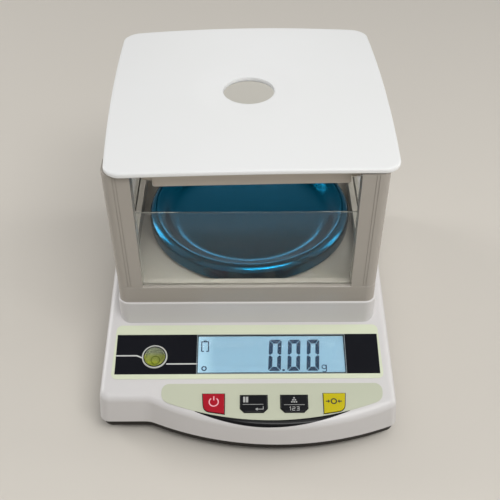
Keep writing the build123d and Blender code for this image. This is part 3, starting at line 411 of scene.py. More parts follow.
# %% Spirit finish
tinted_until, grey_from = 0.46, 0.6  # shares of the cup's depth, from its front
vial_acrylic = acrylic("vial_spirit_tinted", "#b8bf4c", 1.33, (0.93, 0.98), (0.0, 0.04))
tree = vial_acrylic.node_tree
place = add(tree, "ShaderNodeSeparateXYZ", {0: add(tree, "ShaderNodeTexCoord").outputs["Object"]})
vial_low, vial_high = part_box("level_cup")
tinted_y = vial_low.lerp(vial_high, tinted_until).y
grey_y = vial_low.lerp(vial_high, grey_from).y
sockets = {"Value": place.outputs["Y"], "From Min": tinted_y, "From Max": grey_y}
filled = add(tree, "ShaderNodeMapRange", sockets)
sockets = {0: filled.outputs[0], 6: linear("#b8bf4c"), 7: linear("#a1a694")}
tint = add(tree, "ShaderNodeMix", sockets, data_type="RGBA")
tree.links.new(tint.outputs[2], tree.nodes["Principled BSDF"].inputs["Base Color"])
print("spirit thins out over", round((grey_y - tinted_y) / mm, 1), "mm")

# %% [markdown]
# ## The display
# A reflective liquid crystal cell over an edge-lit backlight: pale blue, brighter at the end where the
# lamp sits. A lamp behind the cell could light it. The light is faint in a lit room, so the cell emits
# a little of its own colour, and a gradient along X with a soft cloud gives the uneven edge light.

# %% Display finish
lcd_low, lcd_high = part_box("lcd_glass")
lit_end, cloud_wide, cloud_share = 30 * mm, 30, 0.25
bright_until, dim_from = 0.08, 0.55  # places on the colour ramp
lcd_cell, tree, shader = finish("lcd_cell_backlit", "#8fb9cf", Roughness=0.25, IOR=1.5)
where = add(tree, "ShaderNodeTexCoord").outputs["Object"]
along = add(tree, "ShaderNodeSeparateXYZ", {0: where})
cloud = add(tree, "ShaderNodeTexNoise", {"Vector": where, "Scale": per_mm(cloud_wide), "Detail": 2.0})
sockets = {"Value": along.outputs["X"], "From Min": lcd_low.x, "From Max": lcd_low.x + lit_end}
spread = add(tree, "ShaderNodeMapRange", sockets)
sockets = {0: cloud.outputs["Fac"], 1: cloud_share, 2: spread.outputs[0]}
uneven = add(tree, "ShaderNodeMath", sockets, operation="MULTIPLY_ADD")
glow = add(tree, "ShaderNodeValToRGB", {0: uneven.outputs[0]})
bright, dim = glow.color_ramp.elements
bright.position, bright.color = bright_until, linear("#a2c2d3")
dim.position, dim.color = dim_from, linear("#789aae")
tree.links.new(glow.outputs[0], shader.inputs["Base Color"])
tree.links.new(glow.outputs[0], shader.inputs["Emission Color"])
shader.inputs["Emission Strength"].default_value = 0.06
diffuser = moulded("backlight_acrylic_opal_moulded", ("#e6edf0", "#dfe8ec"), (0.3, 0.4))
segment_ink = moulded("lcd_segment_crystal", ("#12304a", "#0f2a42"), (0.3, 0.4), Specular_IOR_Level=0.1)
print("display cell is", round((lcd_high.x - lcd_low.x) / mm, 1), "mm wide")

# %% [markdown]
# ## Metals
# Fasteners are zinc plated, the weighing cell is sawn and milled aluminium, its stops are steel, and
# the pan is brushed stainless steel that still wears its blue protective film. A metal's colour is its
# reflection, so the metallic weight is 1 and the index is left alone. Brushing could be an anisotropic
# gloss; noise stretched along one axis also shows the lines themselves, 0.5 mm apart, coarser than
# the real 0.05 mm so that they show.

# %% Metal recipe


def metal(name, tints, gloss, stretch=(1, 1, 1), grain=0.5, depth=0.004):
    """Bare metal whose lines or grain run along the stretched axis."""
    made, tree, shader = finish(name, tints[0], Metallic=1.0)
    where = add(tree, "ShaderNodeTexCoord").outputs["Object"]
    lines = add(tree, "ShaderNodeMapping", {"Vector": where, "Scale": stretch})
    sockets = {"Vector": lines.outputs[0], "Scale": per_mm(grain), "Detail": 4.0}
    marks = add(tree, "ShaderNodeTexNoise", sockets)
    marked(tree, shader, marks, marks, tints, gloss, depth)
    return made


# Plating gives a bluish grey with yellowish patches; turning, milling and brushing give fine lines
zinc = metal("fastener_steel_zinc_plated", ("#b9bcc0", "#a9a99f"), (0.28, 0.42), grain=1.5)
stop_steel = metal("stop_steel_turned", ("#a8aaac", "#98999b"), (0.3, 0.45), (1, 1, 0.05))
aluminium = metal("cell_aluminium_milled", ("#c9cacb", "#bbbcbe"), (0.3, 0.42), (1, 0.02, 1))
# Galvanising leaves a spangle of crystals about 6 mm wide, and tinning a cloudy brightness
plate_steel = metal("plate_steel_galvanised", ("#a4a8aa", "#8f9496"), (0.35, 0.55), grain=6)
tin = metal("shield_can_tinned", ("#c4c6c7", "#b4b6b6"), (0.2, 0.34), grain=3)
brass = metal("insert_brass_turned", ("#c9a25a", "#b98f45"), (0.25, 0.4))
# Through the blue film the pan's steel shines deep petrol blue
pan_tints = "#035a7a", "#024d69"
pan_steel = metal("pan_steel_brushed_blue_filmed", pan_tints, (0.12, 0.24), (0.01, 1, 1), depth=0.003)
print("metals:", zinc.name, aluminium.name, pan_steel.name)

# %% [markdown]
# ## Circuit boards
# FR4 is glass cloth in epoxy under a green solder mask. The mask is glossy, and the cloth's weave shows
# through as a faint grid. A picture of cloth could give it; two crossed wave textures need none. A wave
# repeats about every third of the size that it is given, so 6 mm draws yarns 1 mm wide, coarser than
# the real 0.4 mm so that they show.

# %% Circuit board finish
wave_size = 6  # mm
board_fr4, tree, shader = finish("board_fr4_solder_masked", "#1d5a34", Roughness=0.3, IOR=1.5, Coat_Weight=0.5)
where = add(tree, "ShaderNodeTexCoord").outputs["Object"]
warp, weft = (
    add(tree, "ShaderNodeTexWave", {"Vector": where, "Scale": per_mm(wave_size)}, bands_direction=way)
    for way in "XY"
)
weave = add(tree, "ShaderNodeMath", {0: warp.outputs["Fac"], 1: weft.outputs["Fac"]}, operation="MULTIPLY")
sockets = {0: weave.outputs[0], 6: linear("#1b5531"), 7: linear("#246a3f")}
mask = add(tree, "ShaderNodeMix", sockets, data_type="RGBA")
tree.links.new(mask.outputs[2], shader.inputs["Base Color"])
print("board:", board_fr4.name)

# %% [markdown]
# ## Dressing the construction nodes
# Most pieces keep their construction mesh, since its shape is right, and only take a finish. Each could
# be modelled again, which would gain nothing. The finish goes into the mesh's material slots, and the
# mesh itself isn't touched.

# %% Finishes by node
corners = ("front_left", "front_right", "rear_left", "rear_right")
screws = ("base_plate", "display_board", "housing", "load_cell_head", "load_cell", "main_board", "windshield")
dress = {
    case_abs: ["upper_housing"],
    base_abs: ["lower_base"],
    shield_abs: ["windshield_base", *[f"{c}_post" for c in corners]],
    lid_abs: ["windshield_lid"],
    inlay_abs: ["front_inlay"],
    overlay_film: ["display_overlay"],
    keypad_film: ["keypad_overlay"],
    band_film: ["display_band"],
    red_film: ["power_key"],
    black_film: ["unit_key", "count_key"],
    yellow_film: ["tare_key"],
    window_acrylic: ["display_window"],
    lcd_cell: ["lcd_glass"],
    diffuser: ["lcd_backlight"],
    black_nylon: ["lcd_frame", "dc_inlet", "pan_carrier"],
    white_abs: ["level_cup"],
    vial_acrylic: ["level_fluid", "level_lens"],
    pane_acrylic: ["front_pane", "rear_pane", "left_pane", "right_pane"],
    pan_steel: ["weighing_pan"],
    foot_rubber: [f"{c}_foot_pad" for c in corners],
    zinc: [*[f"{c}_foot_stud" for c in corners], *[f"{held}_screws" for held in screws], "battery_strap"],
    brass: ["foot_nuts"],
    stop_steel: ["overload_stops"],
    aluminium: ["load_cell", "load_cell_foot", "load_cell_head"],
    plate_steel: ["base_plate"],
    tin: ["converter_can"],
    board_fr4: ["main_board", "display_board"],
    battery_abs: ["battery"],
    dome_silicone: ["key_domes"],
    cushion_rubber: ["pan_cushions"],
}
for material, names in dress.items():
    for name in names:
        mesh = nodes[name].data
        mesh.materials.clear()
        mesh.materials.append(material)
undressed = set(nodes) - {name for names in dress.values() for name in names}
print("nodes without a finish:", sorted(undressed))

# %% [markdown]
# ## Building new pieces
# A new piece is a mesh made in code, smooth shaded, that rides on the body of the balance it belongs
# to. Smooth shading alone would smear light over sharp corners, so edges that fold by more than 30
# degrees are marked sharp. A bevel would do that too, with many more points.

# %% A named piece


def piece(name, shape, materials, body, fold=30):
    """Turns a bmesh into a named, smooth shaded piece riding on a body."""
    bmesh.ops.recalc_face_normals(shape, faces=shape.faces)
    for face in shape.faces:
        face.smooth = True
    for edge in shape.edges:
        edge.smooth = edge.calc_face_angle(0) < math.radians(fold)
    data = bpy.data.meshes.new(name)
    shape.to_mesh(data)
    shape.free()
    for material in materials if isinstance(materials, list) else [materials]:
        data.materials.append(material)
    made = bpy.data.objects.new(name, data)
    scene.collection.objects.link(made)
    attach(made, body)
    print(name, "has", len(data.vertices), "points and rides on", body)
    return made


print("pieces are made by", piece.__name__)

# %% [markdown]
# ## Skins
# Most forms here are skins: loops of points with quads between them. A solid could be cut from blocks
# instead, but a skin keeps even quads, which shade cleanly on bowed and rounded faces.

# %% Skin of loops


def quads_between(shape, rings):
    """Quads between successive rings of vertices."""
    for this, following in zip(rings, rings[1:]):
        for i in range(len(this)):
            j = (i + 1) % len(this)
            shape.faces.new((this[i], this[j], following[j], following[i]))


def skin(shape, loops, around=False):
    """A skin over loops of points; around joins the last loop to the first, else the two ends are
    capped."""
    rings = [[shape.verts.new(point) for point in loop] for loop in loops]
    quads_between(shape, rings + rings[:1] if around else rings)
    if not around:
        shape.faces.new(rings[0])
        shape.faces.new(rings[-1])


print("skins are made by", skin.__name__)

# %% [markdown]
# ## Outline of the lid
# Seen from above the lid is nearly square, its sides bow out and its corners are round. A curve object
# could draw that. Here a function gives the distance from the middle to the outline at any angle, by
# halving the step until it lands on the edge, so one profile can be stretched to fit every direction.

# %% Outline of a bowed square
straight = 1e5  # mm, the radius of a side that isn't bowed


def reach(angle, half, corner, bow=0.0, side=None):
    """Distance from the middle to the outline of a square, or of an oblong if side is given, with
    rounded corners and sides bowed out by bow."""
    across = side or half
    ray = Vector((abs(math.cos(angle)), abs(math.sin(angle))))
    flat = half - bow
    radius = (flat**2 + bow**2) / (2 * bow) if bow else straight

    def outside(distance):
        x, y = ray * distance
        past_x = math.hypot(x + radius - half, y) - radius + corner
        past_y = math.hypot(x, y + radius - across) - radius + corner
        return min(max(past_x, past_y), 0) + math.hypot(max(past_x, 0), max(past_y, 0)) - corner

    near, far = 0.0, 2 * max(half, across)
    for _ in range(40):
        middle = (near + far) / 2
        near, far = (middle, far) if outside(middle) < 0 else (near, middle)
    return near


def stepped(angle, half, run, notch, corner):
    """Reach of a square whose corners are cut by a square step: sides run to run, step at notch."""
    over_x, over_y = reach(angle, half, corner, 0, run), reach(angle, run, corner, 0, half)
    return max(over_x, over_y, reach(angle, notch, corner))


print("lid outline reaches", [round(reach(math.radians(a), 81, 9, 1.9), 2) for a in (0, 30, 45)])

# %% [markdown]
# ## Sizes of the lid
# The lid is a thin crowned ABS moulding with a soft dish round its hole, and a skirt below that drops
# inside the posts and steps in at each corner to clear them. Its width and heights come from the
# construction node. It sits loose, so it is turned a little and rests a hair off centre.

# %% Lid sizes
lid_low, lid_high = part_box("windshield_lid")
loose = Vector((1.7, 0, 0)) * mm
lid_middle = (lid_low + lid_high) / 2 + loose
lid_middle.z = 0
lid_half = (lid_high.x - lid_low.x) / 2 / mm
lid_corner, lid_bow, lid_thick = 9.0, 1.9, 3.0
lid_turn = math.radians(1.4)
crown_z, crown_radius = lid_high.z / mm + 0.3, 1380.0
hole_radius, dish_radius, dish_deep = 15.0, 33.0, 1.7
skirt_half, skirt_run, skirt_notch, skirt_corner, skirt_wall = 66.6, 54.7, 60.8, 1.3, 2.5
skirt_foot = lid_low.z / mm - 2.2


def crown(distance, depth=0.0):
    """Height of the crowned face at a distance from the middle, with the dish round the hole."""
    share = min(1.0, max(0.0, (dish_radius - distance) / (dish_radius - hole_radius)))
    dish = dish_deep * share * share * (3 - 2 * share)
    return crown_z - crown_radius + math.sqrt(crown_radius**2 - distance**2) - dish - depth


print("crown falls", round(crown(dish_radius) - crown(lid_half), 1), "mm from the dish to the sides")

# %% [markdown]
# ## The lid's profile
# Cut along any direction, the lid shows one closed line: up the wall of the hole, over the crown, round
# the rim, back under to the skirt, down, up inside it, and home under the roof. The top could have
# even steps, but points crowd near the dish, where it bends most.

# %% Lid profile
hole_round, rim_round, under_round, skirt_round = 1.1, 1.5, 0.7, 0.5
top_steps, rim_steps, roof_steps = 26, 7, 8


def lid_profile(angle):
    """The lid's closed section along one direction, as (distance, height) in millimetres."""
    rim = reach(angle, lid_half, lid_corner, lid_bow)
    skirt = stepped(angle, skirt_half, skirt_run, skirt_notch, skirt_corner)
    inside = [size - skirt_wall for size in (skirt_half, skirt_run, skirt_notch)]
    inner = stepped(angle, *inside, 0.6)
    hole, top_start = hole_radius, hole_radius + hole_round
    points = [(hole + 0.5, crown(hole + 0.5, lid_thick)), (hole, crown(hole, lid_thick - 0.6))]
    points += [(hole, crown(hole, 1.0)), (hole + 0.3, crown(hole + 0.3, 0.3)), (top_start, crown(top_start))]
    for i in range(1, top_steps + 1):
        distance = top_start + (rim - 2.4 - top_start) * (i / top_steps) ** 1.25
        points.append((distance, crown(distance)))
    for i in range(1, rim_steps + 1):
        bend = math.radians(i * 90 / rim_steps)
        height = crown(rim - rim_round) - rim_round + rim_round * math.cos(bend)
        points.append((rim - rim_round + rim_round * math.sin(bend), height))
    points += [(rim, crown(rim, lid_thick - under_round)), (rim - under_round, crown(rim, lid_thick))]
    points += [(skirt + 0.8, crown(skirt, lid_thick)), (skirt, crown(skirt, lid_thick + 0.8))]
    points += [(skirt, skirt_foot + skirt_round), (skirt - skirt_round, skirt_foot)]
    points += [(inner + skirt_round, skirt_foot), (inner, skirt_foot + skirt_round)]
    points += [(inner, crown(inner, lid_thick + 1.0)), (inner - 1.0, crown(inner, lid_thick))]
    for i in range(1, roof_steps):
        distance = inner - 1.0 - (inner - 1.0 - hole - 0.5) * i / roof_steps
        points.append((distance, crown(distance, lid_thick)))
    return points


print("lid profile has", len(lid_profile(0)), "points")

# %% [markdown]
# ## The lid's skin
# Running the profile round the middle gives the whole lid as a single closed skin. It could be a slab
# with a skirt joined to it, but one skin has no seam. Rays stand 1.5 degrees apart, and closer where
# the skirt steps in. The underside and the skirt take the darker, warmer finish, which is painted shade.

# %% Lid skin
ray_step = 1.5  # degrees
step_angles = (39.3, 42.0, 48.0, 50.7)
around_step = (-0.7, -0.25, 0.0, 0.25, 0.7)
near_steps = {90 * quarter + a + d for quarter in range(4) for a in step_angles for d in around_step}
all_rays = sorted({ray_step * i for i in range(240)} | near_steps)
lid_shape = bmesh.new()
loops = []
for degrees in all_rays:
    angle = math.radians(degrees)
    ray = Vector((math.cos(angle + lid_turn), math.sin(angle + lid_turn), 0))
    loops.append([lid_middle + (ray * d + Vector((0, 0, z))) * mm for d, z in lid_profile(angle)])
skin(lid_shape, loops, around=True)
# Faces below the roof's underside get the second finish: painted shade on the underside and skirt
for face in lid_shape.faces:
    spot = face.calc_center_median()
    off_axis = math.hypot(spot.x - lid_middle.x, spot.y - lid_middle.y) / mm
    face.material_index = int(spot.z / mm < crown(off_axis, lid_thick + 0.2))
print("lid skin has", len(lid_shape.faces), "faces")

# %% [markdown]
# ## The lid's pads
# Four small pads under the roof stand on the tops of the posts. They could be pieces of their own; on
# the real lid they are moulded with it, so they go into the same mesh and dip a little into its roof.

# %% Lid pads
pad_at, pad_half, pad_chamfer, pad_sunk = 70.0, 4.5, 0.4, 0.6
post_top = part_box("front_left_post")[1].z / mm
roof_at_pad = crown(pad_at * math.sqrt(2), lid_thick)
turn_lid = Matrix.Rotation(lid_turn, 3, "Z")
levels = [(post_top, pad_half - pad_chamfer), (post_top + pad_chamfer, pad_half)]
levels.append((roof_at_pad + pad_sunk, pad_half))
for middle_x, middle_y in ((-pad_at, -pad_at), (-pad_at, pad_at), (pad_at, -pad_at), (pad_at, pad_at)):
    pad = []
    for height, half in levels:
        square = [(-half, -half), (half, -half), (half, half), (-half, half)]
        pad.append([Vector((middle_x + x, middle_y + y, height)) for x, y in square])
    skin(lid_shape, [[lid_middle + turn_lid @ point * mm for point in loop] for loop in pad])
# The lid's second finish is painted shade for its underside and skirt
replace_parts(piece("draught_lid", lid_shape, [lid_abs, lid_underside_painted_shade_abs], "lid"), "windshield_lid")

# %% [markdown]
# ## The pan
# The pan is pressed from 0.8 mm stainless steel: a flat floor, a soft rise to a wide rounded rim and
# an upright edge. It still wears its blue protective film. A Screw modifier could turn a line into it;
# turning one thick section in code gives the same form and keeps its rings where the bends are. It
# lies loose on four cushions, so it too rests a little off centre.

# %% Pan section


def thickened(line, thick):
    """A closed section: an open line of (radius, height) and the same line thick millimetres below."""
    below = []
    for i, here in enumerate(line):
        before, after = line[max(i - 1, 0)], line[min(i + 1, len(line) - 1)]
        along = Vector((after[0] - before[0], after[1] - before[1])).normalized()
        below.append((here[0] + along.y * thick, here[1] - along.x * thick))
    return line + below[::-1]


pan_sheet = 0.8
pan_low, pan_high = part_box("weighing_pan")
rim_start, rim_wide, rim_tall, rim_bends = 60.4, 4.45, 4.6, 12
# The face from near the axis to the rim, as (radius, height below the crest)
face_line = [(0.6, -8.0), (12, -8.0), (24, -8.0), (36, -8.0), (44, -8.0), (46.5, -7.95), (48.5, -7.7)]
face_line += [(50.2, -7.1), (51.6, -6.2), (52.8, -5.1), (54.0, -3.8), (55.2, -2.6), (56.4, -1.6)]
face_line += [(57.8, -0.75), (59.2, -0.2), (rim_start, 0.0)]
for i in range(1, rim_bends + 1):
    bend = math.radians(i * 90 / rim_bends)
    face_line.append((rim_start + rim_wide * math.sin(bend), -rim_tall + rim_tall * math.cos(bend)))
face_line += [(64.85, -6.5), (64.85, -8.5), (64.85, -10.4)]
pan_section = thickened([(radius, height + pan_high.z / mm) for radius, height in face_line], pan_sheet)
print("pan section has", len(pan_section), "points")

# %% [markdown]
# The section is turned in 180 steps of 2 degrees. The rim is rolled tightly, so the fold at which an
# edge turns sharp is raised for this piece, and only the sheet's cut edge stays sharp.

# %% Pan
pan_turns = 180
pan_middle = (pan_low + pan_high) / 2 + loose
pan_middle.z = 0
loops = []
for i in range(pan_turns):
    angle = math.tau * i / pan_turns
    spots = [Vector((r * math.cos(angle), r * math.sin(angle), z)) for r, z in pan_section]
    loops.append([pan_middle + spot * mm for spot in spots])
pan_shape = bmesh.new()
skin(pan_shape, loops, around=True)
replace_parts(piece("filmed_pan", pan_shape, pan_steel, "pan", fold=50), "weighing_pan")

# %% [markdown]
# ## The panes
# Each pane is sawn from 1.1 mm sheet and stands loose in its groove. The broad faces are polished and
# the sawn edges are frosted. A cube with a bevel could stand for it; a skin of four loops gives the
# chamfer at once, and lets each face take one of the two finishes by the way that it looks.

# %% Panes
sheet_thick, sheet_chamfer = 1.1 * mm, 0.2 * mm
for spot in ("front", "rear", "left", "right"):
    low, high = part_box(f"{spot}_pane")
    thin = 1 if spot in ("front", "rear") else 0
    wide = 1 - thin
    loops = []
    for half, narrower in ((-0.5, 1), (-0.5, 0), (0.5, 0), (0.5, 1)):
        cut = narrower * sheet_chamfer
        depth = (low[thin] + high[thin]) / 2 + half * (sheet_thick - 2 * sheet_chamfer * (1 - narrower))
        start, end, foot, head = low[wide] + cut, high[wide] - cut, low.z + cut, high.z - cut
        loop = []
        for along, height in ((start, foot), (end, foot), (end, head), (start, head)):
            point = Vector((0, 0, height))
            point[thin], point[wide] = depth, along
            loop.append(point)
        loops.append(loop)
    shape = bmesh.new()
    skin(shape, loops)
    shape.normal_update()
    for face in shape.faces:
        face.material_index = int(abs(face.normal[thin]) < 0.9)
    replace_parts(piece(f"{spot}_sheet", shape, [pane_acrylic, edge_acrylic], "housing"), f"{spot}_pane")

# %% [markdown]
# ## The panel's plane
# The display, the band and the keys all lie on one plane that slopes 15 degrees. An empty turned to the
# slope could carry them. Here places on the plane are given as millimetres across the panel and up its
# slope from the platform, and a lift above it, and one function turns them into points.

# %% The panel's plane
film_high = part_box("display_overlay")[1]
panel_slope = math.radians(15)
film_thick = 0.25
film_head = -1.9  # the film's top edge, up the slope from the platform
up_slope = Vector((0, math.cos(panel_slope), math.sin(panel_slope)))
off_panel = Vector((0, -math.sin(panel_slope), math.cos(panel_slope)))
film_corner = Vector((0, film_high.y - film_thick * mm * math.sin(panel_slope), film_high.z))
panel_origin = film_corner - up_slope * film_head * mm - off_panel * film_thick * mm


def on_panel(x, v, lift=0.0):
    """Point at x across and v up the slope in millimetres, lift above the panel."""
    return panel_origin + Vector((x, 0, 0)) * mm + (up_slope * v + off_panel * lift) * mm


print("panel starts at", [round(c / mm, 1) for c in on_panel(0, 0)])

# %% [markdown]
# ## Flat marks
# Print could be a picture laid on the film. It is modelled as thin raised ink, because a real edge keeps
# its sharpness at any distance. Some marks are plain shapes, given by their corners.

# %% Arcs, discs and oblongs


def arc(centre, radius, start, end, count=24):
    """Points along an arc, angles in degrees."""
    angles = [math.radians(start + (end - start) * i / count) for i in range(count + 1)]
    return [(centre[0] + radius * math.cos(a), centre[1] + radius * math.sin(a)) for a in angles]


def disc(centre, radius, count=24):
    """Points of a full circle."""
    return arc(centre, radius, 0, 360, count)[:-1]


def oblong(start, end, foot, head):
    """Corners of an upright oblong."""
    return [(start, foot), (end, foot), (end, head), (start, head)]


print("a disc has", len(disc((0, 0), 3)), "points")

# %% [markdown]
# ## Strokes
# Other marks are strokes: a line of points given a width and mitred at each turn, so that its corners
# stay full. A curve with a bevel could draw them too, but would leave its ends and corners round.

# %% Strokes
sharpest = 0.35  # a mitre grows no longer than the width over this


def stroke(points, width, closed=False):
    """Quads, as point lists, that follow a line at a width, mitred at its turns."""
    line = [Vector(p) for p in points]
    count = len(line)
    one_side, other_side = [], []
    for i, here in enumerate(line):
        ways = []
        if closed or i:
            ways.append((here - line[i - 1]).normalized())
        if closed or i < count - 1:
            ways.append((line[(i + 1) % count] - here).normalized())
        along = sum(ways, Vector((0, 0))).normalized()
        across = Vector((-along.y, along.x))
        normal = Vector((-ways[0].y, ways[0].x))
        across *= width / 2 / max(sharpest, across.dot(normal))
        one_side.append(here + across)
        other_side.append(here - across)
    quads = []
    for i in range(count if closed else count - 1):
        j = (i + 1) % count
        quads.append([one_side[i], one_side[j], other_side[j], other_side[i]])
    return quads


print("a ring of", len(stroke(disc((0, 0), 3), 0.5, True)), "quads")

# %% [markdown]
# ## Raised ink
# Flat shapes and strokes are laid on the panel and extruded a few hundredths of a millimetre, about as
# thick as screen printed ink. Neighbouring quads are welded first, so that a line is one solid.

# %% Extruding flat shapes
weld = 0.002 * mm


def raised(name, shapes, lift, thick, material, body):
    """Extrudes flat shapes by thick from a lift above the panel."""
    made = bmesh.new()
    for shape in shapes:
        made.faces.new([made.verts.new(on_panel(x, v, lift)) for x, v in shape])
    bmesh.ops.remove_doubles(made, verts=made.verts, dist=weld)
    grown_up = bmesh.ops.extrude_face_region(made, geom=made.faces[:])
    tops = [v for v in grown_up["geom"] if isinstance(v, bmesh.types.BMVert)]
    bmesh.ops.translate(made, verts=tops, vec=off_panel * thick * mm)
    piece(name, made, material, body)


print("marks are made by", raised.__name__)

# %% [markdown]
# ## The display window
# Under a 0.7 mm acrylic lens lies the liquid crystal cell, and its figures stand just below the lens,
# so they look flat in the window and not sunk in a well. Both could be cubes turned to the slope. As
# skins of stepped oblongs they also get the lens's chamfer and the cell's narrower upper glass.

# %% Lens and cell
window_low, window_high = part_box("display_window")
window_x = (window_low.x + window_high.x) / 2 / mm
window_half = (window_high.x - window_low.x) / 2 / mm
window_v, window_tall = -21.6, 12.6  # middle and half height, up the slope
lens_gap, lens_chamfer, lens_foot = 0.08, 0.1, -0.7
cell_half, cell_tall = (lcd_high.x - lcd_low.x) / 2 / mm, 14.6
cell_foot, cell_step, cell_face, cell_gap = -4.3, -2.6, -0.85, 0.3


def window_oblong(half_wide, half_tall):
    """An oblong round the middle of the window."""
    return oblong(window_x - half_wide, window_x + half_wide, window_v - half_tall, window_v + half_tall)


def slab(name, levels, material, node):
    """A skin of oblongs parallel to the panel: (half width, half height, lift) from the back up."""
    shape = bmesh.new()
    skin(shape, [[on_panel(x, v, lift) for x, v in window_oblong(wide, tall)] for wide, tall, lift in levels])
    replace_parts(piece(name, shape, material, "housing"), node)


lens_half, lens_tall = window_half - lens_gap, window_tall - lens_gap
lens_face = (lens_half - lens_chamfer, lens_tall - lens_chamfer, 0.0)
lens_levels = [(lens_half, lens_tall, lens_foot), (lens_half, lens_tall, -lens_chamfer), lens_face]
slab("display_lens", lens_levels, window_acrylic, "display_window")
glass_half, glass_tall = window_half - cell_gap, window_tall - cell_gap
cell_levels = [(cell_half, cell_tall, cell_foot), (cell_half, cell_tall, cell_step)]
cell_levels += [(glass_half, glass_tall, cell_step), (glass_half, glass_tall, cell_face)]
slab("crystal_cell", cell_levels, lcd_cell, "lcd_glass")

# %% [markdown]
# ## Gasket and printed line
# A thin dark gasket runs round the opening, inside a fine grey printed line. Both are closed strokes, a
# little inside and outside the window's edge. A dark border in the cell's finish could stand
# for the gasket, but wouldn't fill the gap between the lens and the film.

# %% Window gasket and line
film_top = film_thick
print_thick = 0.04
gasket = stroke(window_oblong(window_half - 0.2, window_tall - 0.2), 0.34, True)
raised("window_gasket", gasket, 0.01, 0.2, band_film, "housing")
edge_line = stroke(window_oblong(window_half + 0.28, window_tall + 0.28), 0.3, True)
raised("window_line", edge_line, film_top, print_thick, line_ink, "housing")

# %% [markdown]
# ## Display digits
# Each digit of the display is seven bars with mitred ends and hairline gaps, leaning almost 3 degrees,
# on a pitch of 11.35 mm. A font could not match them; a bar is a flat hexagon or trapezium that a few sizes
# give. The weight reads zero with two decimals, so only the six outer bars are needed.

# %% Bars of a zero
digit_wide, digit_tall, bar, flat_bar, bevel = 7.5, 20.8, 2.4, 2.7, 0.7
gap = 0.16
lean = math.tan(math.radians(2.8))


def flip_x(points):
    return [(digit_wide - x, y) for x, y in points]


def flip_y(points):
    return [(x, digit_tall - y) for x, y in points]


def bars():
    """The six bars of a zero as outlines from its lower left corner: top, sides and bottom."""
    w, h, b, t, m, c = digit_wide, digit_tall, bar, flat_bar, digit_tall / 2, bevel
    top = [(c + gap, h), (w - c - gap, h), (w - c / 2 - gap * 1.6, h - c / 2), (w - b - gap, h - t)]
    top += [(b + gap, h - t), (c / 2 + gap * 1.6, h - c / 2)]
    side = [(0, h - c - gap), (c / 2 - gap * 0.2, h - c / 2 - gap * 1.4), (b - gap * 0.4, h - t - gap)]
    side += [(b - gap * 0.4, m + b / 2 + gap), (b / 2 - 0.3, m + gap), (0, m + gap + 0.6)]
    return [top, flip_x(side), flip_x(flip_y(side)), flip_y(top), flip_y(side), side]


print("a zero has", len(bars()), "bars")

# %% [markdown]
# ## What the display shows
# Beside the three zeros and the point stand a small g for grams, a battery and the ring that says the
# weight is steady. They lie in the liquid crystal, 0.86 mm below the lens's face. All of them could be
# pieces of their own; they switch as one display, so they are one.

# %% Display figures
digit_foot, digit_starts = -32.5, (12.3, 23.65, 35.0)
figures = []
for start in digit_starts:
    for outline in bars():
        figures.append([(start + x + y * lean, digit_foot + y) for x, y in outline])
figures.append([(20.75, -32.7), (22.15, -32.7), (22.2, -31.35), (20.8, -31.35)])

bowl, tail = disc((45.5, -30.0), 1.25, 20), arc((45.6, -32.0), 1.25, 0, -150, 10)[1:]
figures += stroke(bowl, 0.55, True) + stroke([(46.85, -28.6), (46.85, -32.0)] + tail, 0.55)

# The battery is a case of four strokes, the foot one parted in the middle, and a cap
case_line = stroke([(-27.4, -12.9), (-23.3, -12.9), (-23.2, -19.3), (-27.3, -19.3)], 0.7, True)
parted_foot = stroke([(-23.2, -19.3), (-24.5, -19.3)], 0.7) + stroke([(-26.0, -19.3), (-27.3, -19.3)], 0.7)
figures += case_line[:2] + parted_foot + case_line[3:] + stroke([(-26.4, -12.4), (-24.4, -12.4)], 0.8)
figures += stroke(disc((-25.6, -30.7), 1.25), 0.8, True)
raised("display_segments", figures, cell_face - 0.01, 0.06, segment_ink, "housing")

# %% [markdown]
# ## Lines on the band
# Two white lines run along the black band to the level: one from the left edge, bent down near it, and
# one from the level towards the window. They are strokes of screen printed ink.

# %% Band lines
band_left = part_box("display_band")[0].x / mm
left_line = [(band_left + 0.15, -22.5), (-65.8, -22.5), (-62.4, -24.0)]
right_line = [(-48.0, -28.05), (-29.6, -28.05)]
band_lines = stroke(left_line, 0.8) + stroke(right_line, 0.8)
raised("band_lines", band_lines, film_top, print_thick, white_ink, "housing")

# %% [markdown]
# ## Painted shade round the keys
# Each key has a thin dark ring on the film round it, painted shade of the crease where the raised key
# meets the film. It could be typed in from the keys' sizes, but it has to follow them exactly, so it is
# found by walking round the outside of each key's own mesh.

# %% Outline of a key


def key_outline(node, lowest):
    """Outside of a key as (x, v) points in order: the convex hull of what stands above a lift."""
    corners_seen = set()
    for vertex in nodes[node].data.vertices:
        from_origin = nodes[node].matrix_world @ vertex.co - panel_origin
        if from_origin.dot(off_panel) > lowest * mm:
            corners_seen.add((round(from_origin.x / mm, 3), round(from_origin.dot(up_slope) / mm, 3)))
    ordered = [Vector(point) for point in sorted(corners_seen)]
    hull = []
    for run in (ordered, ordered[::-1]):
        part = []
        for point in run:
            while len(part) > 1 and (part[-1] - part[-2]).cross(point - part[-1]) <= 0:
                part.pop()
            part.append(point)
        hull += part[:-1]
    return hull


def grown(outline, by):
    """The outline moved outwards, its corners mitred."""
    out = []
    for i, here in enumerate(outline):
        into = (here - outline[i - 1]).normalized()
        away = (outline[(i + 1) % len(outline)] - here).normalized()
        normal = Vector((into.y + away.y, -into.x - away.x)).normalized()
        out.append(here + normal * by / max(0.5, normal.dot(Vector((into.y, -into.x)))))
    return out


print("power key has", len(key_outline("power_key", film_top)), "corners")
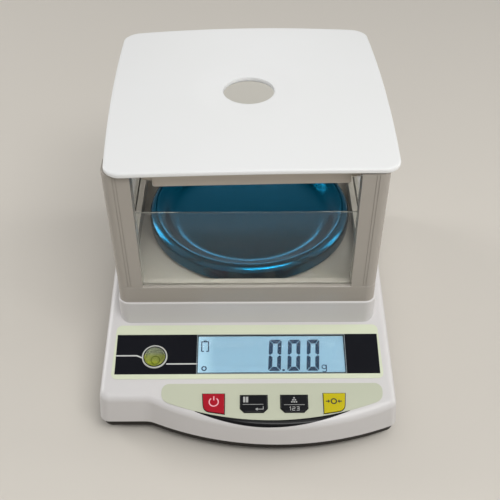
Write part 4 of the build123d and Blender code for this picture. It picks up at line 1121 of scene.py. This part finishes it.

# %% [markdown]
# The painted shade ring starts a few hundredths outside the key, so that the key can go in without touching
# it.

# %% Painted shade round the keys
crease_shade_gap, crease_shade_out = 0.04, 0.42
key_crease_shade_quads = []
for node in ("power_key", "unit_key", "count_key", "tare_key"):
    outline = key_outline(node, film_top)
    near, far = grown(outline, crease_shade_gap), grown(outline, crease_shade_out)
    for i in range(len(outline)):
        j = (i + 1) % len(outline)
        key_crease_shade_quads.append([near[i], near[j], far[j], far[i]])
# A ring of dark ink round each key: painted shade of the crease at the key's foot
raised("key_crease_shade", key_crease_shade_quads, film_top, 0.05, band_film, "housing")

# %% [markdown]
# ## Signs on the keys
# Each sign is ink on its key's face and rides on that key, so it goes in with the key. Print on the
# panel would stay behind. The power key has a broken ring with a stroke in the gap.

# %% Power sign
key_points = [nodes["unit_key"].matrix_world @ vertex.co for vertex in nodes["unit_key"].data.vertices]
key_top = max((point - panel_origin).dot(off_panel) for point in key_points) / mm
sign_foot, thin_line, figure_line = key_top - 0.01, 0.26, 0.34
power_x, power_v = -19.35, -52.9
power = stroke(arc((power_x, power_v), 2.62, 127, 413, 36), 0.66)
power += stroke([(power_x, power_v + 3.5), (power_x, power_v + 1.0)], 0.66)
raised("power_sign", power, sign_foot, print_thick, rose_ink, "power_key_body")

# %% [markdown]
# The next key has a pair of weights above a line, and a return arrow below it.

# %% Unit sign
unit = [oblong(-2.4, -1.15, -53.3, -49.8), oblong(-0.75, 0.5, -53.3, -49.8)]
unit += stroke([(-2.7, -54.55), (9.2, -54.55)], thin_line)
unit += stroke([(9.1, -55.7), (9.1, -57.5), (5.7, -57.5)], 0.36)
unit.append([(4.5, -57.5), (5.9, -58.4), (5.9, -56.6)])
raised("unit_sign", unit, sign_foot, print_thick, grey_ink, "unit_key_body")

# %% [markdown]
# The counting key has a heap of six pieces above a line, and the plain figures 123 below it. Its
# figures are strokes of three to six points, as on a small display.

# %% Count sign
heap_x, heap_v, across, down = 26.95, -50.6, 0.65, 1.25
heap = []
for row in range(3):
    for place_in_row in range(row + 1):
        spot_x = heap_x + across * (2 * place_in_row - row)
        heap.append(disc((spot_x, heap_v - down * row), 0.5, 12))
heap += stroke([(21.1, -54.85), (33.0, -54.85)], thin_line)
heap += stroke([(24.2, -56.6), (24.8, -56.1), (24.8, -58.4)], figure_line)
two = [(25.9, -56.2), (27.3, -56.2), (27.3, -57.2), (25.9, -57.2), (25.9, -58.3), (27.4, -58.3)]
heap += stroke(two, figure_line)
heap += stroke([(28.3, -56.2), (29.7, -56.2), (29.7, -58.3), (28.3, -58.3)], figure_line)
heap += stroke([(28.5, -57.2), (29.6, -57.2)], figure_line)
raised("count_sign", heap, sign_foot, print_thick, grey_ink, "count_key_body")

# %% [markdown]
# The zeroing key has a ring with an arrow that points at it from either side.

# %% Tare sign
zero_x, zero_v = 49.8, -52.8
zero = stroke(disc((zero_x, zero_v), 1.5, 24), 0.72, True)
for side in (-1, 1):
    tip = zero_x + side * 2.1
    zero += stroke([(tip + side * 2.5, zero_v), (tip + side * 0.8, zero_v)], 0.66)
    head = [(tip, zero_v), (tip + side * 1.2, zero_v - 1.15), (tip + side * 1.2, zero_v + 1.15)]
    zero.append(head if side > 0 else head[::-1])
raised("tare_sign", zero, sign_foot, print_thick, dark_ink, "tare_key_body")

# %% [markdown]
# ## The level
# A round spirit level tells whether the balance stands true. A bright ring and a black collar frame it,
# and a fine green ring at its foot is the target. All three are closed sections turned about the axis
# of the level, which stands square to the panel's slope.

# %% Rings of the level
level_x, level_v = -55.1, -23.5


def level_circle(radius, steps):
    """Places round the level's axis, as (x, v)."""
    spins = [math.tau * i / steps for i in range(steps)]
    return [(level_x + radius * math.cos(a), level_v + radius * math.sin(a)) for a in spins]


ring_section = [(6.8, 0.99), (7.36, 0.99), (7.38, 0.3), (7.56, 0.3), (7.56, 0.95), (7.46, 1.12)]
ring_section += [(7.36, 1.18), (6.95, 1.18), (6.8, 1.08)]
collar_section = [(6.1, 1.0), (6.78, 1.0), (6.78, 1.08), (6.1, 1.08)]
target_section = [(2.2, -5.45), (2.7, -5.45), (2.7, -5.25), (2.2, -5.25)]
for name, section, material in (
    ("level_ring", ring_section, white_abs),
    ("level_collar", collar_section, band_film),
    ("level_target", target_section, target_ink),
):
    rings = [[on_panel(x, v, lift) for x, v in level_circle(radius, 72)] for radius, lift in section]
    shape = bmesh.new()
    skin(shape, list(zip(*rings)), around=True)
    piece(name, shape, material, "housing")

# %% [markdown]
# ## The vial
# The spirit fills a clear vial under a domed top. Vial and spirit could be two solids with a hair of air
# between them, which renders as a bright shell; one solid of tinted spirit up to the dome does not.

# %% Vial
vial_section = [(5.5, -5.2), (5.55, -5.1), (5.55, 1.01), (6.08, 1.02), (6.08, 1.15), (5.7, 1.28)]
vial_section += [(4.6, 1.42), (2.5, 1.52), (0.6, 1.55)]
vial = bmesh.new()
skin(vial, [[on_panel(x, v, lift) for x, v in level_circle(radius, 64)] for radius, lift in vial_section])
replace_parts(piece("level_vial", vial, vial_acrylic, "housing"), "level_fluid", "level_lens")

# %% [markdown]
# ## The black inlay
# A gloss black crescent lies between the keypad and the front edge and rolls over the rounded ridge. A
# flat crescent could be shrinkwrapped to the case. Here its surface is worked out from the case's form:
# flat while the ridge is far, then down the ridge's rounding, so that it hugs the case all along.

# %% Form of the ridge
ridge_r = 4.6
ridge_tangent = ridge_r * math.tan(math.radians(37.5))
steepest = 0.95  # of the rounding, beyond which the surface would turn upright
bulge_x, bulge_r = 18.2, 175.3
bulge_y = cad_low.y / mm + bulge_r


def ridge_drop(x, v):
    """How far the rounded ridge lies below the panel's plane at (x, v), in millimetres."""
    spot = on_panel(x, v) / mm
    to_edge = (bulge_r - math.hypot(spot.x - bulge_x, spot.y - bulge_y)) / math.cos(panel_slope)
    past = min(max(ridge_tangent - to_edge, 0.0), ridge_r * steepest)
    return ridge_r - math.sqrt(ridge_r**2 - past**2)


print("ridge drops", round(ridge_drop(bulge_x, -67), 2), "mm at the front edge of the inlay")

# %% [markdown]
# The crescent is a skin of sections from tip to tip. Each runs from the keypad's curved edge down to
# the crescent's own, and a parabola narrows it towards the tips.

# %% Inlay
belly_x, belly_v, belly_r = 14.3, -63.9, 172.4
inlay_half, inlay_deep, tip_deep = 44.5, 3.7, 0.12
inlay_gap, inlay_face, inlay_back = 0.05, 0.2, -0.15
half_sections, steps_down = 60, 8
inlay = bmesh.new()
loops = []
for i in range(-half_sections, half_sections + 1):
    share = i / half_sections
    x = belly_x + inlay_half * share
    top_edge = belly_v + belly_r - math.sqrt(belly_r**2 - (x - belly_x) ** 2) - inlay_gap
    width = tip_deep + (inlay_deep - tip_deep) * (1 - share**2)
    down_slope = [top_edge - width * k / steps_down for k in range(steps_down + 1)]
    over = [on_panel(x, v, inlay_face - ridge_drop(x, v)) for v in down_slope]
    under = [on_panel(x, v, inlay_back - ridge_drop(x, v)) for v in down_slope]
    loops.append(over + under[::-1])
skin(inlay, loops)
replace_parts(piece("gloss_inlay", inlay, inlay_abs, "housing"), "front_inlay")

# %% [markdown]
# ## The weighing cell
# The cell is an aluminium beam, screwed down at one end, whose thinned middle bends by up to half a
# millimetre when the pan is loaded. A rigid beam would cut into the head that it carries, so the piece
# is the construction mesh, cut across into slices where it could bend between the two bodies; the bend
# itself is not set up here. Both ends, where the foot and the head are screwed on, are left uncut.

# %% Slices of the beam
beam_low, beam_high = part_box("load_cell")
foot_low, foot_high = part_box("load_cell_foot")
clamped = foot_high.y - foot_low.y
bend_start = Vector((0, beam_high.y - clamped, beam_low.z))
bend_end = Vector((0, beam_low.y + clamped, beam_low.z))
slices = 8
beam = bmesh.new()
beam.from_mesh(nodes["load_cell"].data)
beam.transform(nodes["load_cell"].matrix_world)
for i in range(slices + 1):
    whole = beam.verts[:] + beam.edges[:] + beam.faces[:]
    cut_at = bend_start.lerp(bend_end, i / slices)
    bmesh.ops.bisect_plane(beam, geom=whole, plane_co=cut_at, plane_no=(0, 1, 0))
print("beam bends over", round((bend_end - bend_start).length / mm, 1), "mm in", slices, "slices")

# %% Bending beam
beam_data = bpy.data.meshes.new("bending_beam")
beam.to_mesh(beam_data)
beam.free()
beam_data.materials.append(aluminium)
bending_beam = bpy.data.objects.new("bending_beam", beam_data)
scene.collection.objects.link(bending_beam)
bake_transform(bending_beam)
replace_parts(bending_beam, "load_cell")
print("bending_beam has", len(beam_data.vertices), "points")
